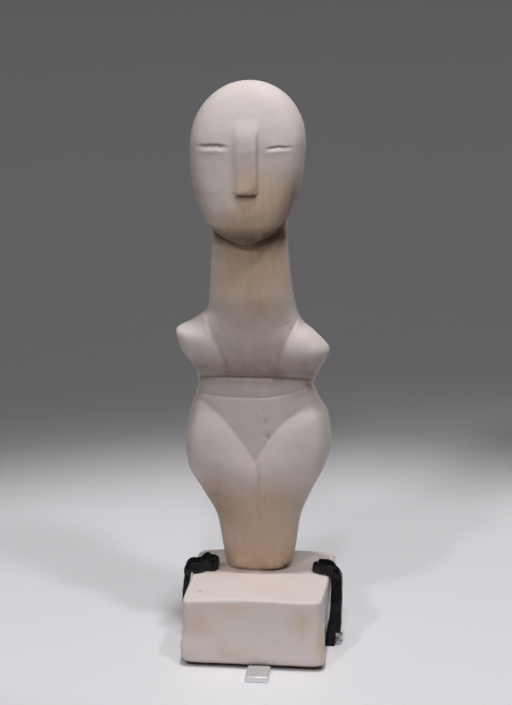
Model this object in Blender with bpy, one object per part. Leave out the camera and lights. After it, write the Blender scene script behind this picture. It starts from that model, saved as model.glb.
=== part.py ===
"""Marble figurine of a standing woman, carved in one with a low block base, in its small display clips.

The figure faces -Y and its height runs along +Z.  The origin is the centre of the base's underside.
Sizes are in millimetres, and MM turns them into metres where a mesh is made.  Every level of the marble
is a closed ring around one upright axis, found by asking how far the stone reaches in each direction.
"""
from collections import namedtuple

import bmesh
import bpy
import numpy as np

MM = 0.001
GAP = 0.3

# How fine the marble's rings are
COLUMNS = 60
FIGURE_ROWS = 58

# Block base: half sizes from the centre of its underside
BASE_LEFT = 28.0
BASE_RIGHT = 27.5
BASE_FRONT = 26.0
BASE_BACK = 24.5
BASE_TOP = 28.2
BASE_SQUARENESS = 18.0
CORNER_SOFTENING = 7.0
RIGHT_TAPER = 2.0
RIGHT_WEAR = 0.8
LEFT_FLARE = 0.7
BASE_FALL_LEFT = 1.5
BASE_FALL_RIGHT = 0.6
BASE_FOOT_INSET = 4.2
BASE_FOOT_HEIGHT = 2.4
BASE_FOOT_RISE = 0.3
FRONT_LEAN = 3.1
FRONT_TWIST = 0.8
LEFT_BULGE = 1.6
LEFT_BULGE_HEIGHT = 7.5
RIGHT_SCOOP = 2.4
SCOOP_TOP = 26.0
HOLLOW_DEPTH = 1.5
HOLLOW_HALF_WIDTH = 20.0
HOLLOW_HALF_DEPTH = 10.5

# The base's side, from the ground up: share of the undercut foot, share of the height above it, and inset
BaseRow = namedtuple("BaseRow", "foot side inset")
BASE_ROWS = (
    BaseRow(0.0, 0.0, BASE_FOOT_INSET),
    BaseRow(1.0, 0.0, 0.35),
    BaseRow(1.0, 0.035, 0.0),
    BaseRow(1.0, 0.22, 0.0),
    BaseRow(1.0, 0.50, 0.0),
    BaseRow(1.0, 0.78, 0.0),
    BaseRow(1.0, 0.955, 0.05),
    BaseRow(1.0, 0.99, 0.4),
    BaseRow(1.0, 1.0, 1.1),
)
BASE_TOP_STEPS = (0.2, 0.42, 0.62, 0.8, 0.92)

# The figure stands behind the middle of the base
FIGURE_X = -2.0
FIGURE_Y = 12.5
BODY_ROUNDNESS = 2.2

# Half sizes of the body from its own axis, level by level
Level = namedtuple("Level", "name height left right front back")
LEVELS = (
    Level("sole", 26.4, 12.9, 11.4, 5.2, 6.2),
    Level("instep", 29.0, 13.2, 12.9, 6.6, 6.2),
    Level("ankle", 36.0, 14.4, 14.6, 6.6, 6.3),
    Level("shin", 48.0, 16.2, 16.4, 8.0, 7.6),
    Level("knee", 61.0, 22.3, 21.6, 9.1, 9.4),
    Level("thigh", 71.0, 27.3, 26.5, 9.7, 10.8),
    Level("hip", 81.0, 28.2, 29.0, 9.3, 11.2),
    Level("loin", 93.0, 25.9, 27.7, 9.1, 9.6),
    Level("flank", 98.5, 24.1, 24.8, 8.9, 8.4),
    Level("waist", 104.6, 22.4, 22.6, 8.4, 7.6),
    Level("rib", 109.5, 23.4, 24.3, 7.8, 7.4),
    Level("stump", 118.5, 28.8, 28.6, 8.7, 7.6),
    Level("left tip", 125.2, 30.6, 23.4, 9.2, 7.6),
    Level("shoulder", 130.0, 23.6, 18.2, 9.2, 7.6),
    Level("neck foot", 135.0, 17.9, 16.1, 8.8, 7.6),
    Level("throat", 147.0, 16.8, 14.3, 7.4, 7.8),
    Level("nape", 160.0, 15.8, 13.2, 6.0, 8.0),
)

# Head: an egg on a slightly leaning axis, its chin forward of the neck
CHIN = 162.7
HEAD_WIDEST = 200.0
HEAD_TOP = 223.2
HEAD_HALF_WIDTH = 21.8
HEAD_FRONT = 13.2
HEAD_BACK = 12.6
HEAD_X = -1.3
HEAD_LEAN = 0.035
FACE_TILT = 0.13
JAW_TAPER = 2.4
FACE_FULLNESS = 5.0
FACE_FLATNESS = 2.5
CROWN_SLANT = 1.45
NECK_END = 177.0
NECK_CLOSING = 8.0
CHIN_BLEND = 0.8
NAPE_BLEND = 5.0
CROWN_CAP = 0.05

# Lines of the carving.  An upright line leans from its low end to its high end and bows between them.
# A level line is an arch: its top, how far it falls at 20 mm to the left and to the right, how squarely.
Bow = namedtuple("Bow", "low_x low_z high_x high_z bow")
Arch = namedtuple("Arch", "x z left right power")
ARM_LINE_LEFT = Bow(-12.0, 112.0, -23.0, 138.0, 0.4)
ARM_LINE_RIGHT = Bow(7.5, 112.0, 19.0, 137.0, -1.8)
LEG_LINE = Bow(-3.5, 30.0, -1.0, 75.0, 1.2)
BELT_TOP = Arch(-4.0, 108.5, 2.3, 1.2, 3.5)
BELT_FOOT = Arch(0.0, 101.1, 0.2, -4.1, 1.7)
LAP_FOOT = 74.0
LAP_RISE = 24.0
LAP_HALF_LEFT = 23.0
LAP_HALF_RIGHT = 28.0
LAP_CURVE_LEFT = 1.75
LAP_CURVE_RIGHT = 2.3
ARM_STEP = 1.0
ARM_BARREL = 2.1
BELT_CUT = 1.4
BAND_CUT = 0.45
THIGH_STEP = 0.7
THIGH_SWELL = 4.0
THIGH_REACH = 6.0
LEG_GROOVE = 0.4
NOSE_TOP = 207.0
NOSE_FOOT = 184.3
NOSE_HALF = 4.1
NOSE_RAISE = 0.9
NOSE_X = -2.6

# Where the levels crowd together: height, reach up and down, and how many more
FINE_HEIGHTS = (
    (102.0, 2.5, 1.0),
    (108.2, 2.0, 2.4),
    (128.0, 4.0, 0.8),
    (CHIN + 1.0, 4.0, 1.2),
    (NOSE_FOOT, 1.8, 2.6),
    (HEAD_WIDEST + 1.0, 3.0, 0.6),
)

# Display clips: sleeved flat straps bent over the base's top edges, their arms given station by station:
# share of the way from elbow to tip, thickness, width, roll of the section in degrees, and how far back
STRAP_SIDES = 12
STRAP_SQUARENESS = 9.0
STEM_TOP = 27.0
LAYER_FOOT = 5.6
BEND_STEPS = 5
Station = namedtuple("Station", "share thick wide roll back")
LEFT_ARM = (
    Station(0.0, 2.4, 6.4, 0.0, 0.0),
    Station(0.13, 3.7, 6.6, 0.0, 0.0),
    Station(0.25, 4.3, 6.6, 0.0, 0.1),
    Station(0.31, 4.1, 7.0, 0.0, 0.4),
    Station(0.44, 4.2, 7.3, 0.0, 0.7),
    Station(0.69, 5.4, 6.0, 14.0, 1.4),
    Station(0.86, 4.7, 6.3, -9.0, 1.9),
    Station(0.95, 4.0, 5.4, 5.0, 2.2),
    Station(1.0, 3.2, 4.4, 0.0, 2.3),
)
RIGHT_ARM = (
    Station(0.0, 4.7, 5.4, 0.0, 0.0),
    Station(0.22, 3.4, 6.0, 0.0, 0.3),
    Station(0.40, 4.0, 7.0, 0.0, 1.4),
    Station(0.47, 4.2, 7.3, 0.0, 1.8),
    Station(0.64, 4.0, 6.8, 0.0, 2.5),
    Station(0.78, 4.0, 6.3, 0.0, 2.7),
    Station(0.84, 2.9, 5.0, 0.0, 2.8),
    Station(1.0, 2.6, 4.7, 0.0, 2.9),
)
Clip = namedtuple(
    "Clip", "name side foot_x knee_x knee_z elbow_x y slant thick foot_thick layer bend reach rise arm"
)
CLIPS = (
    Clip("left_mount_clip", -1, 30.6, 30.6, 19.0, 29.45, 4.4, 0.0, 2.4, 2.4, 0.9, 2.2, 9.9, 0.03, LEFT_ARM),
    Clip("right_mount_clip", 1, 27.0, 29.4, 15.0, 29.4, 3.2, 4.4, 4.7, 6.5, 2.0, 3.3, 6.4, -0.02, RIGHT_ARM),
)

# Bright metal tabs
TAB_WIDE = 8.8
TAB_DEEP = 9.5
TAB_THICK = 2.5
TAB_X = 1.8
SIDE_TAB_WIDE = 1.6
SIDE_TAB_DEEP = 3.3
SIDE_TAB_THICK = 2.4
SIDE_TAB_GAP = 0.9
TAB_EDGE = 0.35

# Plain colours
MARBLE_COLOUR = (0.62, 0.55, 0.47)
SLEEVE_COLOUR = (0.012, 0.012, 0.014)
TAB_COLOUR = (0.7, 0.7, 0.7)


def smooth_step(value):
    """Ease from 0 to 1 as the value goes from 0 to 1."""
    t = np.clip(value, 0.0, 1.0)
    return t * t * (3.0 - 2.0 * t)


def bell(value, width):
    """A bell curve of height 1 at 0."""
    return np.exp(-((value / width) ** 2))


def height_on(arch, x):
    """Height of a level line at a place across the front: its top less a power of the distance from it."""
    fall = np.where(x > arch.x, arch.right, arch.left)
    return arch.z - fall * (np.abs(x - arch.x) / 20.0) ** arch.power


def place_on(bow, z):
    """Place across the front of an upright line at a height: a straight line plus a parabola."""
    t = np.clip((z - bow.low_z) / (bow.high_z - bow.low_z), 0.0, 1.0)
    return bow.low_x + (bow.high_x - bow.low_x) * t + 4.0 * bow.bow * t * (1.0 - t)


def curve_through(height, field):
    """Read one half size of the body at any height, on a curve with no bumps between the named levels."""
    z = np.array([level.height for level in LEVELS])
    v = np.array([getattr(level, field) for level in LEVELS])
    rise = np.diff(v) / np.diff(z)
    flat = rise[:-1] * rise[1:] <= 0.0
    mean = 2.0 * rise[:-1] * rise[1:] / np.where(flat, 1.0, rise[:-1] + rise[1:])
    slope = np.concatenate([rise[:1], np.where(flat, 0.0, mean), rise[-1:]])
    at = np.clip(np.searchsorted(z, height) - 1, 0, len(z) - 2)
    span = z[at + 1] - z[at]
    t = np.clip((height - z[at]) / span, 0.0, 1.0)
    start = v[at] * (1.0 + 2.0 * t) * (1.0 - t) ** 2 + span * slope[at] * t * (1.0 - t) ** 2
    return start + v[at + 1] * t * t * (3.0 - 2.0 * t) - span * slope[at + 1] * t * t * (1.0 - t)


def reach_of_block(x_way, y_way, left, right, front, back, squareness):
    """Distance from the axis to a rounded block's outline, along a direction."""
    half_x = np.where(x_way > 0.0, right, left)
    half_y = np.where(y_way > 0.0, back, front)
    share = (np.abs(x_way) / half_x) ** squareness + (np.abs(y_way) / half_y) ** squareness
    return share ** (-1.0 / squareness)


def reach_of_egg(x_way, y_way, centre_x, centre_y, half_x, half_y):
    """Distance from the axis to the far side of an off-centre ellipse, or 0 where the ray misses it."""
    square = (x_way / half_x) ** 2 + (y_way / half_y) ** 2
    across = x_way * centre_x / half_x**2 + y_way * centre_y / half_y**2
    rest = (centre_x / half_x) ** 2 + (centre_y / half_y) ** 2 - 1.0
    under = across**2 - square * rest
    far = (across + np.sqrt(np.maximum(under, 0.0))) / square
    return np.where(under > 0.0, np.maximum(far, 0.0), 0.0)


def softer_of(a, b, blend):
    """The larger of two lengths, with the crease between them rounded off."""
    near = np.maximum(blend - np.abs(a - b), 0.0) / blend
    return np.maximum(a, b) + near * near * blend * 0.25


def head_size(height):
    """Half width, half depth and centre of the head's ellipse at a height."""
    above = np.clip((height - HEAD_WIDEST) / (HEAD_TOP - HEAD_WIDEST), 0.0, 1.0)
    below = np.clip((HEAD_WIDEST - height) / (HEAD_WIDEST - CHIN), 0.0, 1.0)
    half_x = HEAD_HALF_WIDTH * np.sqrt(1.0 - above**2) * np.sqrt(1.0 - below**JAW_TAPER)
    slant = np.sqrt(1.0 - above**CROWN_SLANT)
    half_y = 0.5 * (HEAD_FRONT + HEAD_BACK) * slant * np.sqrt(1.0 - below**FACE_FULLNESS)
    centre_y = 0.5 * (HEAD_BACK - HEAD_FRONT) + FACE_TILT * (height - HEAD_WIDEST)
    return np.maximum(half_x, 0.02), np.maximum(half_y, 0.02), head_lean(height), centre_y


def head_lean(height):
    """Sideways place of the head's axis at a height."""
    return HEAD_X + HEAD_LEAN * (height - HEAD_WIDEST)


def lap_edge(x):
    """Height of the thigh's upper edge at a distance from the body's axis."""
    half = np.where(x > 0.0, LAP_HALF_RIGHT, LAP_HALF_LEFT)
    power = np.where(x > 0.0, LAP_CURVE_RIGHT, LAP_CURVE_LEFT)
    return LAP_FOOT + LAP_RISE * (1.0 - (1.0 - np.clip(np.abs(x) / half, 0.0, 1.0)) ** power)


def arm_carving(x, z):
    """The arms stand proud of the chest past a slanting line, and swell like barrels up their length."""
    from_left = place_on(ARM_LINE_LEFT, z) - x
    from_right = x - place_on(ARM_LINE_RIGHT, z)
    zone = smooth_step((z - 111.5) / 7.0) * smooth_step((139.0 - z) / 8.0)
    step = smooth_step(from_left / 1.6 + 0.5) + smooth_step(from_right / 1.6 + 0.5)
    spread = smooth_step(from_left / 5.0 + 0.3) + smooth_step(from_right / 5.0 + 0.3)
    barrel = ARM_BARREL * np.maximum(1.0 - ((z - 120.5) / 10.0) ** 2, 0.0)
    return ARM_STEP * step * zone + barrel * (0.35 + 0.65 * spread)


def belt_carving(x, z):
    """Chest and band each draw in to a cut at their foot."""
    above = z - height_on(BELT_TOP, x)
    under = z - height_on(BELT_FOOT, x)
    upper = np.where(above > 0.0, np.exp(-np.maximum(above, 0.0) / 4.2), 1.0 - smooth_step(-above))
    lower = np.where(under > 0.0, np.exp(-np.maximum(under, 0.0) / 1.6), 1.0 - smooth_step(-under))
    fade = smooth_step((x + 25.0) / 6.0) * smooth_step((22.0 - x) / 4.0)
    return -BELT_CUT * upper - BAND_CUT * lower * fade


def leg_carving(x, z):
    """Thighs that step up at a curved edge and swell away from it, a groove between the legs."""
    across = x - FIGURE_X
    slope = lap_edge(across + 0.5) - lap_edge(across - 0.5)
    away = (lap_edge(across) - z) / np.sqrt(1.0 + slope**2)
    low = smooth_step((z - 44.0) / 34.0)
    swell = THIGH_SWELL * (1.0 - np.exp(-np.maximum(away, 0.0) / THIGH_REACH))
    between = smooth_step((z - 27.0) / 4.0) * smooth_step((76.0 - z) / 4.0)
    groove = bell(x - place_on(LEG_LINE, z), 1.8) * between
    return (THIGH_STEP * smooth_step(away / 1.4 + 0.5) + swell) * low - LEG_GROOVE * groove


def face_carving(x, z):
    """A flatter, shield-like face than the head's ellipse, with a long low ridge for its nose."""
    half_x, half_y, centre_x, _ = head_size(z)
    share = np.clip(np.abs(x - FIGURE_X - centre_x) / half_x, 0.0, 0.98)
    square = (1.0 - share**FACE_FLATNESS) ** (1.0 / FACE_FLATNESS)
    fade = smooth_step((z - CHIN - 1.0) / 8.0) * smooth_step((HEAD_TOP - z) / 5.0)
    side = smooth_step((NOSE_HALF - np.abs(x - NOSE_X)) / 1.6 + 0.5)
    along = smooth_step((z - NOSE_FOOT) / 0.8 + 0.5) * smooth_step((NOSE_TOP + 5.0 - z) / 7.0)
    return half_y * (square - np.sqrt(1.0 - share**2)) * fade + NOSE_RAISE * side * along


def figure_ring(height, turn):
    """One level of the figure: its bare outline around the axis, with the carving pushed out of the front.

    Above the neck the ring's centre moves over to the head's own axis.
    """
    left, right, front, back = (curve_through(height, side) for side in ("left", "right", "front", "back"))
    head_x, head_y, centre_x, centre_y = head_size(height)
    in_head = height > CHIN
    widest = max(left + right, 2.0 * head_x * in_head)
    deepest = max(front + back, 2.0 * head_y * in_head)
    x_way, y_way = np.cos(turn), np.sin(turn) * deepest / widest
    closing = 1.0 - 0.6 * smooth_step((height - NECK_END + NECK_CLOSING) / NECK_CLOSING)
    sides = (side * closing for side in (left, right, front, back))
    reach = reach_of_block(x_way, y_way, *sides, BODY_ROUNDNESS)
    follow = smooth_step((height - NECK_END) / 20.0)
    if in_head:
        off_x, off_y = centre_x * (1.0 - follow), centre_y * (1.0 - follow)
        head = reach_of_egg(x_way, y_way, off_x, off_y, head_x, head_y)
        blend = CHIN_BLEND + (NAPE_BLEND - CHIN_BLEND) * smooth_step(1.4 * np.sin(turn))
        reach = head if height > NECK_END + 2.0 else softer_of(reach, head, blend)
    x = FIGURE_X + centre_x * follow + x_way * reach
    y = FIGURE_Y + centre_y * follow + y_way * reach
    carving = arm_carving(x, height) + belt_carving(x, height)
    carving = carving + leg_carving(x, height) + face_carving(x, height)
    y = y - carving * smooth_step(-np.sin(turn) * 1.6)
    return np.column_stack([x, y, np.full_like(x, height)])


def figure_heights(count):
    """Levels spread evenly along the figure's outline, closer together where the carving is fine."""
    z = np.linspace(LEVELS[0].height, HEAD_TOP - CROWN_CAP, 4001)
    body = np.where(z < CHIN + 8.0, curve_through(z, "left"), 0.0)
    wide = np.maximum(body, np.where(z > CHIN, head_size(z)[0], 0.0))
    crowd = 1.0
    for height, width, extra in FINE_HEIGHTS:
        crowd = crowd + extra * bell(z[1:] - height, width)
    along = np.concatenate([[0.0], np.cumsum(np.hypot(np.diff(z), np.diff(wide)) * crowd)])
    return np.interp(np.linspace(0.0, along[-1], count + 1), along, z)[1:]


def base_top(x, y):
    """Height of the base's top: gently crowned, lower to the left, with a shallow hollow round the feet."""
    fall = np.where(x < 0.0, BASE_FALL_LEFT, BASE_FALL_RIGHT) * (x / BASE_LEFT) ** 2
    off = np.hypot((x - FIGURE_X) / HOLLOW_HALF_WIDTH, (y - FIGURE_Y) / HOLLOW_HALF_DEPTH)
    return BASE_TOP - fall - HOLLOW_DEPTH * smooth_step((1.15 - off) / 0.5)


def base_ring(turn, row):
    """One level of the base's side.

    Its left side swells near the foot and flares forward, its right is worn and tapered, and its front leans.
    """
    x_way, y_way = np.cos(turn), np.sin(turn)
    low = (BASE_FOOT_HEIGHT + BASE_FOOT_RISE * x_way) / BASE_TOP
    share = low * row.foot + (1.0 - low) * row.side
    height = share * BASE_TOP
    front, back = BASE_FRONT - row.inset - FRONT_LEAN * share, BASE_BACK - row.inset
    softening = CORNER_SOFTENING * bell(turn - 1.75 * np.pi, 0.5) * smooth_step(share * 3.0)
    squareness = BASE_SQUARENESS - softening
    left, right = BASE_LEFT - row.inset, BASE_RIGHT - row.inset
    reach = reach_of_block(x_way, y_way, left, right, front, back, squareness)
    front_left = bell(turn - 1.16 * np.pi, 0.42) * bell(height - LEFT_BULGE_HEIGHT, 5.0)
    worn_right = smooth_step(np.cos(turn - 0.05) * 3.2 - 2.2)
    reach = reach + LEFT_BULGE * front_left
    reach = reach - worn_right * (RIGHT_WEAR + RIGHT_SCOOP * smooth_step(1.0 - height / SCOOP_TOP))
    x, y = x_way * reach, y_way * reach
    forward = np.clip(-y / BASE_FRONT, 0.0, 1.0)
    taper = RIGHT_TAPER * share * np.clip(x / BASE_RIGHT, 0.0, 1.0)
    flare = LEFT_FLARE * np.clip(-x / BASE_LEFT, 0.0, 1.0)
    x = x - forward * (taper + flare)
    y = y - forward * FRONT_TWIST * (1.0 - share) * x / BASE_RIGHT
    return np.column_stack([x, y, share * base_top(x, y)])


def marble_rings():
    """Every ring of the marble from the underside, up the base, over its top and up the figure."""
    turn = np.linspace(0.0, 2.0 * np.pi, COLUMNS, endpoint=False)
    rings = [base_ring(turn, row) for row in BASE_ROWS]
    rim, sole = rings[-1], figure_ring(LEVELS[0].height, turn)
    for step in BASE_TOP_STEPS:
        ring = rim + (sole - rim) * step
        ring[:, 2] = base_top(ring[:, 0], ring[:, 1])
        rings.append(ring)
    sole[:, 2] = base_top(sole[:, 0], sole[:, 1])
    rings.append(sole)
    rings.extend(figure_ring(height, turn) for height in figure_heights(FIGURE_ROWS))
    return rings


def loft(name, rings, colour, roughness, metallic=0.0):
    """Closed solid through rings of equal length, capped flat at both ends, with its own material."""
    form = bmesh.new()
    loops = [[form.verts.new(np.asarray(point) * MM) for point in ring] for ring in rings]
    count = len(loops[0])
    for low, high in zip(loops, loops[1:]):
        for i in range(count):
            j = (i + 1) % count
            form.faces.new((low[i], low[j], high[j], high[i]))
    form.faces.new(reversed(loops[0]))
    form.faces.new(loops[-1])
    bmesh.ops.recalc_face_normals(form, faces=form.faces)
    mesh = bpy.data.meshes.new(name)
    form.to_mesh(mesh)
    form.free()
    return finish(name, mesh, colour, roughness, metallic)


def finish(name, mesh, colour, roughness, metallic):
    """Object for a mesh, shaded smooth except at its corners, with a plain material of its own."""
    mesh.shade_smooth()
    mesh.set_sharp_from_angle(angle=np.radians(50.0))
    material = bpy.data.materials.new(name + "_material")
    material.use_nodes = True
    shader = material.node_tree.nodes["Principled BSDF"]
    shader.inputs["Base Color"].default_value = (*colour, 1.0)
    shader.inputs["Roughness"].default_value = roughness
    shader.inputs["Metallic"].default_value = metallic
    mesh.materials.append(material)
    piece = bpy.data.objects.new(name, mesh)
    bpy.context.collection.objects.link(piece)
    return piece


def strap_route(clip):
    """Middle line of a strap in the plane across the base: up its side, round the bend, in over its top."""
    edge_z = float(base_top(clip.side * (clip.elbow_x - clip.thick), clip.y))
    arm_z = edge_z + 2.0 * GAP + 0.5 * clip.thick
    lean = (clip.knee_x - clip.foot_x) / clip.knee_z
    heights = (0.0, LAYER_FOOT - 0.15, LAYER_FOOT + 0.15, clip.knee_z)
    stem = [(clip.foot_x + lean * height, height) for height in heights]
    centre = (clip.elbow_x - clip.bend, arm_z - clip.bend)
    bend = [
        (centre[0] + clip.bend * np.cos(angle), centre[1] + clip.bend * np.sin(angle))
        for angle in np.linspace(0.0, 0.5 * np.pi, BEND_STEPS)
    ]
    elbow = clip.bend * 0.5 * np.pi
    inward = [station.share * (elbow + clip.reach) - elbow for station in clip.arm]
    arm = [(centre[0] - go, arm_z + clip.rise * go) for go in inward if go > 0.3]
    return np.array(stem + bend + arm), len(stem)


def strap_section():
    """A flat strap's section: a soft-cornered oblong, across and through, in half sizes of 1."""
    turn = np.linspace(0.0, 2.0 * np.pi, STRAP_SIDES, endpoint=False) + np.pi / STRAP_SIDES
    reach = reach_of_block(np.cos(turn), np.sin(turn), 1.0, 1.0, 1.0, 1.0, STRAP_SQUARENESS)
    return np.cos(turn) * reach, np.sin(turn) * reach


def clip_rings(clip):
    """Rings of a sleeved strap along its route.

    The arm slants back, swells, rolls and narrows from station to station.  The stem's foot slants forward
    and thickens, and its outer layer is cut off a little above the ground.
    """
    route, elbow = strap_route(clip)
    ways = np.gradient(route, axis=0)
    ways /= np.linalg.norm(ways, axis=1)[:, None]
    ways[0] = (0.0, 1.0)
    across, through = strap_section()
    steps = np.linalg.norm(np.diff(route, axis=0), axis=1)
    along = np.concatenate([[0.0], np.cumsum(steps)])
    past_elbow = np.clip((along - along[elbow]) / (along[-1] - along[elbow]), 0.0, 1.0)
    shares = [station.share for station in clip.arm]
    rings = []
    for (x, z), (way_x, way_z), share in zip(route, ways, past_elbow):
        thick, wide, roll, back = (
            np.interp(share, shares, [getattr(station, field) for station in clip.arm])
            for field in ("thick", "wide", "roll", "back")
        )
        thick = thick + (clip.foot_thick - clip.thick) * np.clip(1.0 - z / clip.knee_z, 0.0, 1.0)
        turned = np.radians(roll)
        clear = 0.5 * (thick - clip.thick) + 0.5 * wide * abs(np.sin(turned))
        out = 0.5 * thick * through - clip.layer * (z < LAYER_FOOT) * np.maximum(through, 0.0)
        side = 0.5 * wide * across
        out, side = out * np.cos(turned) + side * np.sin(turned), side * np.cos(turned) - out * np.sin(turned)
        ring_x = x + (out + clear) * way_z
        ring_z = np.maximum(z - (out + clear) * way_x, 0.0)
        ring_y = clip.y + back - clip.slant * np.clip(1.0 - z / STEM_TOP, 0.0, 1.0) + side
        rings.append(np.column_stack([clip.side * ring_x, ring_y, ring_z]))
    return rings


def tab_rings(centre_x, centre_y, wide, deep, thick):
    """A small plate that lies on the ground, with its upper edges taken off."""
    corners = np.array([(-1, -1), (1, -1), (1, 1), (-1, 1)])
    rings = []
    for inset, height in ((0.0, 0.0), (0.0, thick - TAB_EDGE), (TAB_EDGE, thick)):
        half = np.array([0.5 * wide - inset, 0.5 * deep - inset])
        flat = corners * half + np.array([centre_x, centre_y])
        rings.append(np.column_stack([flat, np.full(4, height)]))
    return rings


def main():
    """Make every piece where it stands."""
    for piece in list(bpy.data.objects):
        bpy.data.objects.remove(piece, do_unlink=True)
    loft("marble_figurine", marble_rings(), MARBLE_COLOUR, 0.55)
    for clip in CLIPS:
        loft(clip.name, clip_rings(clip), SLEEVE_COLOUR, 0.42)
    front_y = -BASE_FRONT - 2.0 * GAP - 0.5 * TAB_DEEP
    front_tab = tab_rings(TAB_X, front_y, TAB_WIDE, TAB_DEEP, TAB_THICK)
    loft("front_mount_tab", front_tab, TAB_COLOUR, 0.35, 1.0)
    right = CLIPS[1]
    strap_edge = right.foot_x - 0.5 * right.thick + right.foot_thick - right.layer
    side_x = strap_edge + SIDE_TAB_GAP + 0.5 * SIDE_TAB_WIDE
    side_tab = tab_rings(side_x, right.y - 0.2, SIDE_TAB_WIDE, SIDE_TAB_DEEP, SIDE_TAB_THICK)
    loft("right_clip_tab", side_tab, TAB_COLOUR, 0.35, 1.0)


main()
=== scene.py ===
"""Marble figurine of a standing woman on her block base, with two sleeved display clips and their tabs.

The figure faces -Y and stands along +Z; the origin is the centre of the base's underside.  Shapes are
worked out in millimetres on grids of two parameters, and MM turns them into metres where a mesh is made.
"""
from collections import namedtuple
from math import cos, pi, radians, sin

import bpy
import numpy as np
from bpy.props import FloatProperty, FloatVectorProperty, IntProperty, PointerProperty
from mathutils import Matrix, Vector


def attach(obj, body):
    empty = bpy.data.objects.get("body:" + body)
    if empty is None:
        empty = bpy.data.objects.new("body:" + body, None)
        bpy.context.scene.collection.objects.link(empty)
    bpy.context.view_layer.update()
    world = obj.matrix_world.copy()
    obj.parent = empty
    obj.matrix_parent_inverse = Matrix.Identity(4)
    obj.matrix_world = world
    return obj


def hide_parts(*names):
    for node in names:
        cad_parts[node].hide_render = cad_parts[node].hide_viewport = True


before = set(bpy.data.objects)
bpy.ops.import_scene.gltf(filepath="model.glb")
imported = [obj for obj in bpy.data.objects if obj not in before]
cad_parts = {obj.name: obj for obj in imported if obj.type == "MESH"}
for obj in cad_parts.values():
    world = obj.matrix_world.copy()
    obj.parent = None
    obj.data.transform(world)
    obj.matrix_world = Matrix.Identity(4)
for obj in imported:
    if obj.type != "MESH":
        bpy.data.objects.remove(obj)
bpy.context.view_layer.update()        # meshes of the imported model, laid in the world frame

bl_info = {
    "name": "Marble Figurine Builder",
    "version": (1, 0, 0),
    "blender": (4, 5, 0),
    "location": "3D View > Sidebar > Figurine",
    "description": "Builds a marble figurine on its block base, with display clips and a studio",
    "category": "Object",
}

MM = 0.001

# ---------------------------------------------------------------- sizes of the marble, in millimetres

# Block base: half sizes from the centre of its underside
BASE_LEFT = 28.0
BASE_RIGHT = 27.7
BASE_FRONT = 26.0
BASE_BACK = 24.5
BASE_TOP = 28.2
BASE_SQUARENESS = 18.0
CORNER_SOFTENING = 7.0
RIGHT_TAPER = 2.0
RIGHT_WEAR = 0.8
LEFT_FLARE = 0.7
BASE_FALL_LEFT = 1.5
BASE_FALL_RIGHT = 0.6
BASE_FOOT_INSET = 4.2
BASE_FOOT_HEIGHT = 2.4
BASE_FOOT_RISE = 0.3
BASE_FOOT_STEP = 0.35
BASE_FOOT_WAVE = 0.35
LEFT_BULGE = 1.6
LEFT_BULGE_HEIGHT = 7.5
RIGHT_SCOOP = 2.4
SCOOP_TOP = 26.0
HOLLOW_DEPTH = 1.5
HOLLOW_HALF_WIDTH = 20.0
HOLLOW_HALF_DEPTH = 10.5
TOP_EDGE_RADIUS = 1.1
EDGE_WEAR = 0.35
FRONT_LEAN = 3.1
FRONT_TWIST = 0.8
TOP_PIT = (-22.3, -13.9)
TOP_PIT_SIZE = 0.9
TOP_PIT_DEPTH = 0.35

# Waves of the hand-smoothed stone: height, length and seed of each
FIGURE_WAVES = ((0.10, 17.0, 3), (0.05, 6.0, 4), (0.02, 2.4, 5))
BASE_WAVES = ((0.14, 18.0, 21), (0.07, 7.0, 22), (0.03, 2.6, 23))

# The figure stands behind the middle of the base
FIGURE_X = -2.0
FIGURE_Y = 12.5
BODY_ROUNDNESS = 2.2

# Half sizes of the body from its own axis, level by level
Level = namedtuple("Level", "name height left right front back")
LEVELS = (
    Level("sole", 26.4, 12.9, 11.4, 5.2, 6.2),
    Level("instep", 29.0, 13.2, 12.9, 6.6, 6.2),
    Level("ankle", 36.0, 14.4, 14.6, 6.6, 6.3),
    Level("shin", 48.0, 16.2, 16.4, 8.0, 7.6),
    Level("knee", 61.0, 22.3, 21.6, 9.1, 9.4),
    Level("thigh", 71.0, 27.3, 26.5, 9.7, 10.8),
    Level("hip", 81.0, 28.2, 29.0, 9.3, 11.2),
    Level("loin", 93.0, 25.9, 27.7, 9.1, 9.6),
    Level("flank", 98.5, 24.1, 24.8, 8.9, 8.4),
    Level("waist", 104.6, 22.4, 22.6, 8.4, 7.6),
    Level("rib", 109.5, 23.4, 24.3, 7.8, 7.4),
    Level("stump", 118.5, 28.8, 28.6, 8.7, 7.6),
    Level("left tip", 125.2, 30.6, 23.4, 9.2, 7.6),
    Level("shoulder", 130.0, 23.6, 18.2, 9.2, 7.6),
    Level("neck foot", 135.0, 17.9, 16.1, 8.8, 7.6),
    Level("throat", 147.0, 16.8, 14.3, 7.4, 7.8),
    Level("nape", 160.0, 15.8, 13.2, 6.0, 8.0),
)

# Head: an egg on a slightly leaning axis, its chin forward of the neck
CHIN = 162.7
HEAD_WIDEST = 200.0
HEAD_TOP = 223.1
HEAD_HALF_WIDTH = 21.8
HEAD_FRONT = 13.2
HEAD_BACK = 12.6
HEAD_X = -1.3
HEAD_LEAN = 0.035
FACE_TILT = 0.13
JAW_TAPER = 2.4
FACE_FULLNESS = 5.0
FACE_FLATNESS = 2.5
CROWN_SLANT = 1.45
NECK_END = 177.0
NECK_CLOSING = 8.0
CHIN_BLEND = 0.8
NAPE_BLEND = 5.0

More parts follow.
